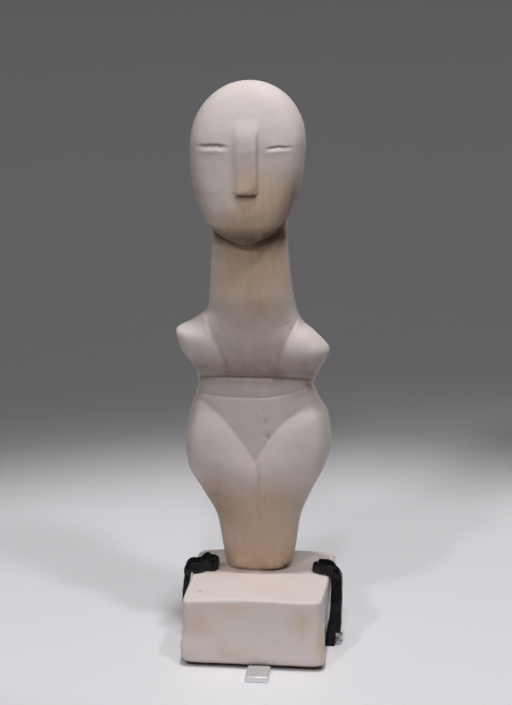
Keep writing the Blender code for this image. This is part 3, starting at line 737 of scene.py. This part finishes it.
def base_side(turn, count):
    """The base's side and rounded top edge.

    The block's outline is drawn in by the profile, swollen at the front left and worn away at the right.  The
    front then tapers at the right, flares at the left and twists, and waves roughen the whole side.
    """
    x_way, y_way = np.cos(turn), np.sin(turn)
    share, angle, inset = base_side_profile(x_way, count)
    edge = TOP_EDGE_RADIUS * (1.0 + EDGE_WEAR * waves(30.0 * x_way, 30.0 * y_way, 0.0, 16.0, 11))
    height = share * BASE_TOP
    foot_wave = BASE_FOOT_WAVE * waves(30.0 * x_way, 30.0 * y_way, 0.0, 12.0, 12)
    foot_wave = foot_wave * (1.0 - smooth_step(share * 14.0)) * (share > 0.0)
    draw_in = inset + edge * (1.0 - np.cos(angle)) + foot_wave * (inset > BASE_FOOT_STEP + 0.01)
    front = BASE_FRONT - draw_in - FRONT_LEAN * share
    back = BASE_BACK - draw_in
    softening = CORNER_SOFTENING * bell(turn - 1.75 * pi, 0.5) * smooth_step(share * 3.0)
    squareness = BASE_SQUARENESS - softening
    reach = reach_of_block(x_way, y_way, BASE_LEFT - draw_in, BASE_RIGHT - draw_in, front, back, squareness)
    front_left = bell(turn - 1.16 * pi, 0.42) * bell(height - LEFT_BULGE_HEIGHT, 5.0)
    worn_right = smooth_step(np.cos(turn - 0.05) * 3.2 - 2.2)
    reach = reach + LEFT_BULGE * front_left
    reach = reach - worn_right * (RIGHT_WEAR + RIGHT_SCOOP * smooth_step(1.0 - height / SCOOP_TOP))
    x, y = x_way * reach, y_way * reach
    forward = np.clip(-y / BASE_FRONT, 0.0, 1.0)
    taper = RIGHT_TAPER * share * np.clip(x / BASE_RIGHT, 0.0, 1.0)
    flare = LEFT_FLARE * np.clip(-x / BASE_LEFT, 0.0, 1.0)
    x = x - forward * (taper + flare)
    y = y - forward * FRONT_TWIST * (1.0 - share) * x / BASE_RIGHT
    z = share * (base_top(x, y) - edge) + edge * np.sin(angle)
    push = (unevenness(x, y, z, BASE_WAVES) - 0.22) * smooth_step(share * 12.0) / np.hypot(x, y)
    return x * (1.0 + push), y * (1.0 + push), z


def base_stain(x, y, z):
    """Earth stains on the base's front and top."""
    stain = 0.02 + stained_by(BASE_PATCHES, x, z)
    front = smooth_step((-y - 18.0) / 5.0)
    round_feet = oval(x, y, FIGURE_X, FIGURE_Y, 17.0, 11.0)
    on_top = smooth_step((z - 25.0) / 2.0)
    return stain * front * (1.0 - on_top) + (0.2 * round_feet + stained_by(TOP_PATCHES, x, y)) * on_top


def marble_grid(look):
    """Every level of the marble, from the underside's middle to the crown: points, shares of dirt and painted
    shade, and stain shares that hold some painted shade.
    """
    turn = front_crowded_turns(look.columns)
    x, y, z = base_side(turn, look.base_rows)
    under = np.linspace(0.0, 1.0, 7)[1:-1, None]
    under_x, under_y = x[:1] * under, y[:1] * under
    sole_x, sole_y, _, _, _ = figure_surface(np.array([[LEVELS[0].height]]), turn, look)
    step = np.linspace(0.0, 1.0, look.top_rows + 2)[1:-1, None]
    top_x = x[-1:] + (sole_x - x[-1:]) * step
    top_y = y[-1:] + (sole_y - y[-1:]) * step
    flat = smooth_step(step * 8.0) * smooth_step((1.0 - step) * 8.0)
    pit = oval(top_x, top_y, *TOP_PIT, TOP_PIT_SIZE, TOP_PIT_SIZE)
    uneven = (0.12 * waves(top_x, top_y, 0.0, 14.0, 31) - 0.1) * flat
    top_z = base_top(top_x, top_y) + uneven - TOP_PIT_DEPTH * pit
    heights = figure_heights(look.figure_rows)[:, None]
    sole_z = base_top(sole_x, sole_y)
    fig_x, fig_y, fig_z, fig_dirt_and_shade, fig_stain_and_shade = figure_surface(heights, turn, look)
    low_x = np.concatenate([under_x, x, top_x, sole_x])
    low_y = np.concatenate([under_y, y, top_y, sole_y])
    low_z = np.concatenate([0.0 * under_x, z, top_z, sole_z])
    # Painted shade along the base's foot, in the dark gap where it meets the floor, and dirt in the pit on its
    # top
    base_dirt_and_shade = 1.1 * smooth_step(1.6 - low_z / 2.0)
    base_dirt_and_shade[-len(top_x) - 1 : -1] += 0.6 * pit
    dirt = np.concatenate([base_dirt_and_shade, fig_dirt_and_shade])
    stain = np.concatenate([base_stain(low_x, low_y, low_z), fig_stain_and_shade])
    low, high = np.stack([low_x, low_y, low_z], axis=-1), np.stack([fig_x, fig_y, fig_z], axis=-1)
    return np.concatenate([low, high]), dirt, stain


def front_crowded_turns(count):
    """Directions round the axis, closer together at the front: density 1 less a share of the sine."""
    fine = np.linspace(0.0, 2.0 * pi, 4001)
    along = fine + FRONT_CROWDING * (np.cos(fine) - 1.0)
    return np.interp(np.linspace(0.0, 2.0 * pi, count, endpoint=False), along, fine)[None, :]


# ---------------------------------------------------------------- the clips' and tabs' surfaces


def strap_route(clip, count):
    """Middle line of a strap across the base: up its side, round the bend, in over its top, evenly spaced."""
    edge_z = float(base_top(clip.side * (clip.elbow_x - clip.thick), clip.y))
    arm_z = edge_z + 2.0 * GAP + 0.5 * clip.thick
    centre_x, centre_z = clip.elbow_x - clip.bend, arm_z - clip.bend
    turn = np.linspace(0.0, 0.5 * pi, 12)
    far_x = centre_x - clip.reach
    far_z = arm_z + clip.rise * clip.reach
    x = np.concatenate([[clip.foot_x, clip.knee_x], centre_x + clip.bend * np.cos(turn), [far_x]])
    z = np.concatenate([[0.0, clip.knee_z], centre_z + clip.bend * np.sin(turn), [far_z]])
    along = np.concatenate([[0.0], np.cumsum(np.hypot(np.diff(x), np.diff(z)))])
    at = np.linspace(0.0, along[-1], count)
    route = np.stack([np.interp(at, along, x), np.interp(at, along, z)], axis=1)
    past_elbow = np.clip((at - along[2]) / (along[-1] - along[2]), 0.0, 1.0)
    return route, past_elbow, along[-1] - at


def strap_grid(clip, look):
    """A sleeved flat strap: a square-cornered section carried along its route.

    It swells, rolls and narrows from station to station along its arm.  Its stem may thicken and slant
    forward towards the foot, and its outer layer is cut off a little above the ground.
    """
    route, past_elbow, left_over = strap_route(clip, look.strap_rows)
    ways = np.gradient(route, axis=0)
    ways /= np.linalg.norm(ways, axis=1)[:, None]
    around = np.linspace(0.0, 2.0 * pi, look.strap_columns, endpoint=False)
    around = (around - CORNER_CROWDING * np.sin(4.0 * around))[None, :]
    reach = reach_of_block(np.cos(around), np.sin(around), 1.0, 1.0, 1.0, 1.0, STRAP_CORNER)
    across, through = np.cos(around) * reach, np.sin(around) * reach
    share = np.array([station.share for station in clip.arm])
    thick, wide, roll, back = (
        np.interp(past_elbow, share, [getattr(station, field) for station in clip.arm])[:, None]
        for field in ("thick", "wide", "roll", "back")
    )
    height, past_elbow = route[:, 1:2], past_elbow[:, None]
    thick = thick + (clip.foot_thick - clip.thick) * np.clip(1.0 - height / clip.knee_z, 0.0, 1.0)
    bevel = END_BEVEL * (1.0 - np.sqrt(np.clip(left_over / END_BEVEL, 0.0, 1.0)))[:, None]
    turned = np.radians(roll)
    clear = 0.5 * (thick - clip.thick) + 0.5 * wide * np.abs(np.sin(turned))
    crease = waves(across * 2.0, through * 2.0, height + past_elbow * 12.0, 5.0, 41 + clip.side)
    fine = waves(across * 3.0, through * 2.0, height * 0.5 + past_elbow * 12.0, 2.4, 43 + clip.side)
    shrink = 1.0 - look.wrinkle * (SLEEVE_SHRINK + CREASE_DEPTH * crease + FINE_CREASE_DEPTH * fine)
    out = through * (0.5 * thick - bevel) * shrink
    side = across * (0.5 * wide - bevel) * shrink
    cut = LAYER_FOOT + LAYER_WANDER * waves(0.0, side, 0.0, 4.0, 47)
    out = out - clip.layer * np.maximum(through, 0.0) * (1.0 - smooth_step((height - cut) / 0.3))
    out, side = out * np.cos(turned) + side * np.sin(turned), side * np.cos(turned) - out * np.sin(turned)
    out = out + clear
    ring_x = route[:, :1] + out * ways[:, 1:2]
    ring_z = height - out * ways[:, :1]
    ring_y = clip.y + back - clip.slant * np.clip(1.0 - height / STEM_TOP, 0.0, 1.0) + side
    return np.stack([clip.side * ring_x, ring_y, np.maximum(ring_z, 0.0)], axis=-1)


def tab_grid(centre_x, centre_y, wide, deep, thick):
    """A small cut plate: a squared-off outline carried up its side, over a fine burr and in to its middle."""
    turn = np.linspace(0.0, 2.0 * pi, TAB_COLUMNS, endpoint=False)[None, :]
    bend = np.linspace(0.0, 0.5 * pi, 6)
    inwards = np.linspace(0.0, 1.0, 9)[1:-1]
    inset = np.concatenate([[0.25, 0.0, 0.0], TAB_BURR * (1.0 - np.cos(bend)), TAB_BURR + inwards])
    burr = thick - TAB_BURR + TAB_BURR * np.sin(bend)
    rise = np.concatenate([[0.0, 0.2, 0.6 * thick], burr, np.full(len(inwards), thick)])[:, None]
    shrink = np.concatenate([np.ones(9), 1.0 - inwards])[:, None]
    side = np.minimum(inset, TAB_BURR)[:, None]
    half_x, half_y = 0.5 * wide - side, 0.5 * deep - side
    reach = reach_of_block(np.cos(turn), np.sin(turn), half_x, half_x, half_y, half_y, TAB_CORNER) * shrink
    x, y = centre_x + np.cos(turn) * reach, centre_y + np.sin(turn) * reach
    z = rise - TAB_DENT + TAB_DENT * waves(x, y, 0.0, 4.0, 51) * (rise > 0.9 * thick)
    return np.stack([x, y, np.maximum(z, 0.0)], axis=-1)


# ---------------------------------------------------------------- making meshes


def closed_mesh(name, grid, marks=None):
    """Closed mesh through a grid whose rows are rings, with a middle point closing each end."""
    rows, columns = grid.shape[:2]
    ends = np.stack([grid[0].mean(axis=0), grid[-1].mean(axis=0)])
    points = np.concatenate([grid.reshape(-1, 3), ends]) * MM
    at = np.arange(rows * columns).reshape(rows, columns)
    beside = np.roll(at, -1, axis=1)
    quads = np.stack([at[:-1], beside[:-1], beside[1:], at[1:]], axis=-1).reshape(-1, 4)
    foot = np.stack([beside[0], at[0], np.full(columns, rows * columns)], axis=-1)
    tip = np.stack([at[-1], beside[-1], np.full(columns, rows * columns + 1)], axis=-1)
    mesh = bpy.data.meshes.new(name)
    mesh.from_pydata(points, [], quads.tolist() + foot.tolist() + tip.tolist())
    for mark, values in (marks or {}).items():
        layer = mesh.attributes.new(mark, "FLOAT", "POINT")
        ends = [values[0].mean(), values[-1].mean()]
        layer.data.foreach_set("value", np.concatenate([values.ravel(), ends]).astype(np.float32))
    mesh.validate()
    mesh.shade_smooth()
    return mesh


def placed(name, data):
    """Make an object and link it to the scene."""
    thing = bpy.data.objects.new(name, data)
    bpy.context.scene.collection.objects.link(thing)
    return thing


def stand_in(name, grid, material, marks=None):
    """Build a piece from its grid, ride it on the model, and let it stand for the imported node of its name."""
    mesh = closed_mesh(name + "_surface", grid, marks)
    mesh.materials.append(material)
    piece = placed(name + "_surface", mesh)
    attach(piece, "root")
    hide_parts(name)


# ---------------------------------------------------------------- materials


class Value:
    """One output socket; arithmetic on it adds Math nodes."""

    def __init__(self, shader, socket):
        self.shader = shader
        self.socket = socket

    def math(self, operation, first, second):
        """Add one Math node."""
        return self.shader.node("ShaderNodeMath", {"operation": operation}, {0: first, 1: second})

    def __add__(self, other):
        return self.math("ADD", self, other)

    def __mul__(self, other):
        return self.math("MULTIPLY", self, other)

    __radd__ = __add__
    __rmul__ = __mul__


class Shader:
    """A material being written: its Principled node, and one way to add any other node."""

    def __init__(self, name, **settings):
        self.material = bpy.data.materials.new(name)
        self.material.use_nodes = True
        self.tree = self.material.node_tree
        self.main = self.tree.nodes["Principled BSDF"]
        for socket, value in settings.items():
            self.main.inputs[socket.replace("_", " ")].default_value = value

    def node(self, kind, settings=None, inputs=None, output=0):
        """Add a node: settings first, then values or links of its sockets, and hand back one output."""
        node = self.tree.nodes.new(kind)
        for key, value in (settings or {}).items():
            if key == "stops":
                self.write_ramp(node.color_ramp, value)
            else:
                setattr(node, key, value)
        for key, value in (inputs or {}).items():
            self.put(node.inputs[key], value)
        return Value(self, node.outputs[output])

    def put(self, socket, value):
        """Link a value to a socket, or set the socket to a plain number or colour."""
        if isinstance(value, Value):
            self.tree.links.new(value.socket, socket)
        else:
            socket.default_value = value

    def write_ramp(self, ramp, stops):
        """Give a colour ramp its two stops, as position and grey level."""
        for element, (position, level) in zip(ramp.elements, stops):
            element.position = position
            element.color = (level, level, level, 1.0)

    def place(self):
        """Where the point is, in metres in the piece's own frame."""
        return self.node("ShaderNodeTexCoord", output="Object")

    def noise(self, size, detail=4.0, roughness=0.55, stretch=(1.0, 1.0, 1.0)):
        """Cloudy pattern with clouds about one size across, in millimetres."""
        scale = tuple(1.0 / (size * MM * along) for along in stretch)
        spot = self.node("ShaderNodeMapping", {}, {"Vector": self.place(), "Scale": scale})
        inputs = {"Vector": spot, "Scale": 1.0, "Detail": detail, "Roughness": roughness}
        return self.node("ShaderNodeTexNoise", {}, inputs)

    def ramp(self, value, *stops):
        """Read a value through a ramp of grey levels."""
        return self.node("ShaderNodeValToRGB", {"stops": stops}, {"Fac": value})

    def mark(self, name):
        """A share written on the piece's points."""
        return self.node("ShaderNodeAttribute", {"attribute_name": name}, {}, "Fac")

    def mix(self, share, *pair):
        """Mix two colours by a share; a plain colour is made opaque."""
        first, second = (one if isinstance(one, Value) else (*one, 1.0) for one in pair)
        settings = {"data_type": "RGBA", "clamp_factor": True}
        return self.node("ShaderNodeMix", settings, {"Factor": share, 6: first, 7: second}, 2)

    def bump(self, height, distance, strength, normal=None):
        """Turn a height pattern into a bent normal; the distance is in millimetres."""
        inputs = {"Height": height, "Distance": distance * MM, "Strength": strength}
        if normal is not None:
            inputs["Normal"] = normal
        return self.node("ShaderNodeBump", {}, inputs)

    def finish(self, **inputs):
        """Link what changes over the surface into the Principled node."""
        for socket, value in inputs.items():
            self.put(self.main.inputs[socket.replace("_", " ")], value)
        return self.material


def marble_material(look):
    """Old weathered marble: warm white, earth-stained, finely grained and pitted, and darkened in its cuts and
    shaded places by dirt and painted shade.
    """
    shader = Shader("marble", Subsurface_Weight=0.12, Subsurface_Scale=0.0025, IOR=1.45)
    shader.main.inputs["Subsurface Radius"].default_value = (1.0, 0.75, 0.6)
    shader.main.inputs["Specular IOR Level"].default_value = 0.35
    clouds = shader.ramp(shader.noise(22.0, 5.0), (0.35, 0.0), (0.68, 1.0))
    mottle = shader.ramp(shader.noise(4.5, 5.0, 0.65), (0.35, 0.0), (0.70, 1.0))
    grain = shader.noise(0.9, 3.0, 0.7)
    streaks = shader.ramp(shader.noise(3.5, 5.0, 0.6, (0.7, 0.7, 5.0)), (0.38, 0.0), (0.66, 1.0))
    stain = shader.mark("stain")
    dirt = shader.mark("dirt")
    stone = shader.mix(clouds * 0.5, look.stone_colour, look.cool_colour)
    stone = shader.mix(mottle * 0.35, stone, look.warm_colour)
    # The stain share browns the stone: earth stains, and in some front patches painted shade
    stone = shader.mix(stain * (clouds * 0.3 + 1.15), stone, look.wash_colour)
    browned = stain * (streaks * 0.32 + 0.14) + clouds * 0.02
    stone = shader.mix(browned, stone, look.earth_colour)
    specks = shader.ramp(shader.noise(1.6, 4.0, 0.7), (0.68, 0.0), (0.78, 1.0))
    stone = shader.mix(specks * 0.22, stone, look.dirt_and_shade_colour)
    # Dirt and painted shade: the dirt share darkens the stone towards the dirt colour
    soiled_and_shaded = dirt * (mottle * 0.35 + 0.68)
    stone = shader.mix(soiled_and_shaded, stone, look.dirt_and_shade_colour)
    pocks = shader.ramp(shader.noise(1.3, 2.0, 0.5), (0.28, 0.0), (0.40, 1.0))
    rough = grain * 0.16 + mottle * 0.06 + 0.46
    normal = shader.bump(pocks, 0.05, 0.5)
    normal = shader.bump(shader.noise(2.8, 5.0, 0.6), 0.18, 0.5, normal)
    normal = shader.bump(grain, 0.05, 0.6, normal)
    return shader.finish(Base_Color=stone, Roughness=rough, Normal=normal)


def sleeve_material(look):
    """Shrunk black plastic sleeve: a soft sheen, fine drawn wrinkles and a little dust."""
    shader = Shader("sleeve", IOR=1.45)
    shader.main.inputs["Specular IOR Level"].default_value = 0.3
    dust = shader.ramp(shader.noise(3.0, 5.0, 0.7), (0.55, 0.0), (0.80, 1.0))
    colour = shader.mix(dust * 0.04, look.sleeve_colour, (0.20, 0.19, 0.21))
    drawn = shader.noise(1.1, 4.0, 0.6, (1.0, 1.0, 4.0))
    rough = dust * 0.15 + drawn * 0.10 + 0.17
    normal = shader.bump(shader.noise(2.2, 3.0), 0.35, 0.6)
    normal = shader.bump(drawn, 0.15, 0.6, normal)
    return shader.finish(Base_Color=colour, Roughness=rough, Normal=normal)


def tab_material(look):
    """Cut aluminium: bright, rubbed dull, scratched along and across."""
    shader = Shader("tab", Metallic=0.85)
    scuff = shader.ramp(shader.noise(2.2, 5.0, 0.7), (0.35, 0.0), (0.7, 1.0))
    along = shader.noise(0.5, 4.0, 0.7, (0.5, 6.0, 1.0))
    across = shader.noise(0.5, 4.0, 0.7, (6.0, 0.5, 1.0))
    colour = shader.mix(scuff * 0.5, look.tab_colour, (0.55, 0.55, 0.56))
    rough = scuff * 0.18 + along * 0.12 + 0.30
    normal = shader.bump(along, 0.04, 0.6)
    normal = shader.bump(across, 0.03, 0.5, normal)
    return shader.finish(Base_Color=colour, Roughness=rough, Normal=normal)


def floor_material(look):
    """Plain pale board with the faintest cloudiness."""
    shader = Shader("floor", Roughness=0.55)
    clouds = shader.noise(90.0, 4.0)
    darker = [0.96 * level for level in look.floor_colour]
    return shader.finish(Base_Color=shader.mix(clouds * 0.5, look.floor_colour, darker))


# ---------------------------------------------------------------- settings


def colour_setting(name, description, *default):
    """A colour that a user may change."""
    return FloatVectorProperty(name=name, description=description, default=default, subtype="COLOR")


class MarbleLook(bpy.types.PropertyGroup):
    """Fineness, depths of the carving and colours of the stone."""

    columns: IntProperty(name="Columns", description="Points round each level", default=224, min=48)
    figure_rows: IntProperty(name="Figure rows", description="Levels up the figure", default=344, min=60)
    base_rows: IntProperty(name="Base rows", description="Levels up the base's side", default=30, min=6)
    top_rows: IntProperty(name="Top rows", description="Rings over the base's top", default=34, min=4)
    carving: FloatProperty(
        name="Carving", description="How boldly arms, belt and thighs stand out", default=1.0,
        subtype="FACTOR")
    eye_depth: FloatProperty(
        name="Eye depth", description="Depth of the eyes' slits", default=0.00045, unit="LENGTH", precision=5)
    nose_height: FloatProperty(
        name="Nose height", description="How far the nose stands out", default=0.0009, unit="LENGTH",
        precision=5)
    stone_colour: colour_setting("Stone", "Clean stone", 0.80, 0.715, 0.70)
    cool_colour: colour_setting("Cool stone", "Cooler clouds", 0.77, 0.69, 0.71)
    warm_colour: colour_setting("Warm stone", "Warmer mottling", 0.79, 0.68, 0.61)
    # Earth colours that brown the stains, and also the front patches that are painted shade
    wash_colour: colour_setting("Earth wash", "Faint yellow-brown staining", 0.745, 0.56, 0.42)
    earth_colour: colour_setting("Earth stain", "Brown staining", 0.52, 0.37, 0.24)
    # Colour of the dirt and dark specks, and of the painted shade in the cuts, under the jaw, on the chest and
    # at the base's foot
    dirt_and_shade_colour: colour_setting("Dirt", "Dirt in the cuts", 0.14, 0.085, 0.055)


class ClipLook(bpy.types.PropertyGroup):
    """Fineness, wrinkling and colours of the sleeved clips and their tabs."""

    strap_rows: IntProperty(name="Strap rows", description="Rings along a strap", default=220, min=20)
    strap_columns: IntProperty(name="Strap columns", description="Points round a strap", default=72, min=12)
    wrinkle: FloatProperty(
        name="Wrinkling", description="Depth of the sleeve's creases", default=1.0, subtype="FACTOR")
    sleeve_colour: colour_setting("Sleeve", "Black plastic", 0.005, 0.0045, 0.007)
    tab_colour: colour_setting("Tab", "Bright metal", 0.86, 0.86, 0.87)


class StageLook(bpy.types.PropertyGroup):
    """Floor, lights and camera."""

    floor_colour: colour_setting("Floor", "Pale board", 0.88, 0.865, 0.90)
    light: FloatProperty(name="Light", description="Strength of every lamp", default=1.0, subtype="FACTOR")
    fill: FloatProperty(
        name="Fill", description="Strength of the light from all round", default=0.02, subtype="FACTOR")
    fill_colour: colour_setting("Fill colour", "Colour of the light from all round", 1.0, 0.93, 0.88)
    lens: FloatProperty(
        name="Lens", description="Focal length on a 36 mm frame", default=127.66, unit="CAMERA")


# ---------------------------------------------------------------- operators


class FIGURINE_OT_marble(bpy.types.Operator):
    """Build the marble figure and base in one piece"""

    bl_idname = "figurine.marble"
    bl_label = "Marble"

    def execute(self, context):
        look = context.scene.marble_look
        grid, dirt, stain = marble_grid(look)
        marks = {"dirt": dirt, "stain": stain}
        stand_in("marble_figurine", grid, marble_material(look), marks)
        return {"FINISHED"}


class FIGURINE_OT_clips(bpy.types.Operator):
    """Build the two sleeved display clips"""

    bl_idname = "figurine.clips"
    bl_label = "Clips"

    def execute(self, context):
        look = context.scene.clip_look
        material = sleeve_material(look)
        for clip in CLIPS:
            grid = strap_grid(clip, look)
            if clip.side > 0:
                grid = grid[:, ::-1]
            stand_in(clip.name, grid, material)
        return {"FINISHED"}


class FIGURINE_OT_tabs(bpy.types.Operator):
    """Build the two bright metal tabs"""

    bl_idname = "figurine.tabs"
    bl_label = "Tabs"

    def execute(self, context):
        material = tab_material(context.scene.clip_look)
        front_y = -BASE_FRONT - 2.0 * GAP - 0.5 * TAB_DEEP
        front = tab_grid(TAB_X, front_y, TAB_WIDE, TAB_DEEP, TAB_THICK)
        stand_in("front_mount_tab", front, material)
        right = CLIPS[1]
        strap_edge = right.foot_x - 0.5 * right.thick + right.foot_thick - right.layer
        side_x = strap_edge + SIDE_TAB_GAP + 0.5 * SIDE_TAB_WIDE
        side = tab_grid(side_x, right.y - 0.2, SIDE_TAB_WIDE, SIDE_TAB_DEEP, SIDE_TAB_THICK)
        stand_in("right_clip_tab", side, material)
        return {"FINISHED"}


# Lamps round the object: turn from +X and height above the ground in degrees, and power.  Four spots, the
# strongest nearly overhead, make one pool of light from a metre away, softened by a broad lamp high above.
Lamp = namedtuple("Lamp", "name turn height power")
SPOTS = (
    Lamp("spot_top", 270.0, 85.0, 14.0),
    Lamp("spot_right", 320.0, 65.0, 6.0),
    Lamp("spot_front", 270.0, 50.0, 4.0),
    Lamp("spot_left", 240.0, 48.0, 5.0),
)
SPOT_REACH = 1.0
SPOT_WIDTH = 0.09
SPOT_BLEND = 0.4
POOL_CENTRE = (0.03, 0.03, 0.0)
POOL_ANGLE = 18.0
POOL_STRETCH = 1.9
OVERHEAD_PLACE = (0.0, 0.3, 2.6)
OVERHEAD_SIZE = 2.4
OVERHEAD_POWER = 11.0

# Camera: place in metres, then how far it is turned, looks down and rolls in degrees
CAMERA_PLACE = (0.1059, -0.8793, 0.4540)
CAMERA_TURN = 6.888
CAMERA_DOWN = 20.59
CAMERA_ROLL = -1.127
FLOOR_HALF = 6.0
FLOOR_DROP = 2e-5


class FIGURINE_OT_stage(bpy.types.Operator):
    """Set the pale floor, the lamps, the surrounding light and the camera"""

    bl_idname = "figurine.stage"
    bl_label = "Stage"

    def execute(self, context):
        look = context.scene.stage_look
        self.lay_floor(look)
        self.hang_lamps(look)
        self.set_camera(context, look)
        return {"FINISHED"}

    def lay_floor(self, look):
        """A wide flat board just under the base."""
        mesh = bpy.data.meshes.new("floor")
        corners = np.array([(-1.0, -1.0), (1.0, -1.0), (1.0, 1.0), (-1.0, 1.0)]) * FLOOR_HALF
        mesh.from_pydata([(x, y, -FLOOR_DROP) for x, y in corners], [], [(0, 1, 2, 3)])
        mesh.materials.append(floor_material(look))
        floor = placed("floor", mesh)

    def hang_lamps(self, look):
        """Spots aimed at the body, a broad lamp overhead, and a faint surround."""
        for lamp in SPOTS:
            light = bpy.data.lights.new(lamp.name, "SPOT")
            light.spot_size = radians(POOL_ANGLE)
            light.spot_blend = SPOT_BLEND
            light.shadow_soft_size = 0.5 * SPOT_WIDTH
            light.energy = lamp.power * look.light
            turn, height = radians(lamp.turn), radians(lamp.height)
            back = Vector((cos(turn) * cos(height), sin(turn) * cos(height), sin(height)))
            across = Vector((0.0, 1.0, 0.0)).cross(back).normalized()
            turned = Matrix((across, back.cross(across), back)).transposed().to_4x4()
            place = Matrix.Translation(Vector(POOL_CENTRE) + back * SPOT_REACH)
            stretch = Matrix.Diagonal((POOL_STRETCH, 1.0, 1.0, 1.0))
            placed(lamp.name, light).matrix_world = place @ turned @ stretch
        light = bpy.data.lights.new("overhead", "AREA")
        light.size = OVERHEAD_SIZE
        light.energy = OVERHEAD_POWER * look.light
        placed("overhead", light).matrix_world = Matrix.Translation(OVERHEAD_PLACE)
        world = bpy.data.worlds.new("surround")
        world.use_nodes = True
        around = world.node_tree.nodes["Background"]
        around.inputs["Color"].default_value = (*look.fill_colour, 1.0)
        around.inputs["Strength"].default_value = look.fill
        bpy.context.scene.world = world

    def set_camera(self, context, look):
        """A long lens, a little to the right and looking down."""
        lens = bpy.data.cameras.new("camera")
        lens.lens = look.lens
        lens.sensor_width = 36.0
        lens.sensor_fit = "AUTO"
        lens.clip_start = 0.05
        camera = placed("camera", lens)
        camera.matrix_world = (
            Matrix.Translation(CAMERA_PLACE)
            @ Matrix.Rotation(radians(CAMERA_TURN), 4, "Z")
            @ Matrix.Rotation(radians(90.0 - CAMERA_DOWN), 4, "X")
            @ Matrix.Rotation(radians(CAMERA_ROLL), 4, "Z")
        )
        context.scene.camera = camera
        context.scene.view_settings.view_transform = "Standard"


class FIGURINE_PT_panel(bpy.types.Panel):
    """The figurine's settings and its builders"""

    bl_idname = "FIGURINE_PT_panel"
    bl_label = "Figurine"
    bl_space_type = "VIEW_3D"
    bl_region_type = "UI"
    bl_category = "Figurine"

    def draw(self, context):
        """List each group's settings above the buttons that use them."""
        for group, operators in (
            ("marble_look", ("figurine.marble",)),
            ("clip_look", ("figurine.clips", "figurine.tabs")),
            ("stage_look", ("figurine.stage",)),
        ):
            box = self.layout.box()
            settings = getattr(context.scene, group)
            for name in settings.__annotations__:
                box.prop(settings, name)
            for operator in operators:
                box.operator(operator)


CLASSES = (
    MarbleLook,
    ClipLook,
    StageLook,
    FIGURINE_OT_marble,
    FIGURINE_OT_clips,
    FIGURINE_OT_tabs,
    FIGURINE_OT_stage,
    FIGURINE_PT_panel,
)


def register():
    """Make the classes and settings known."""
    for kind in CLASSES:
        bpy.utils.register_class(kind)
    bpy.types.Scene.marble_look = PointerProperty(type=MarbleLook)
    bpy.types.Scene.clip_look = PointerProperty(type=ClipLook)
    bpy.types.Scene.stage_look = PointerProperty(type=StageLook)


def unregister():
    """Forget the classes and settings."""
    for name in ("marble_look", "clip_look", "stage_look"):
        delattr(bpy.types.Scene, name)
    for kind in reversed(CLASSES):
        bpy.utils.unregister_class(kind)


def main():
    """Build everything in order."""
    register()
    bpy.ops.figurine.stage()
    bpy.ops.figurine.marble()
    bpy.ops.figurine.clips()
    bpy.ops.figurine.tabs()
    bpy.context.view_layer.update()


if __name__ == "__main__":
    main()
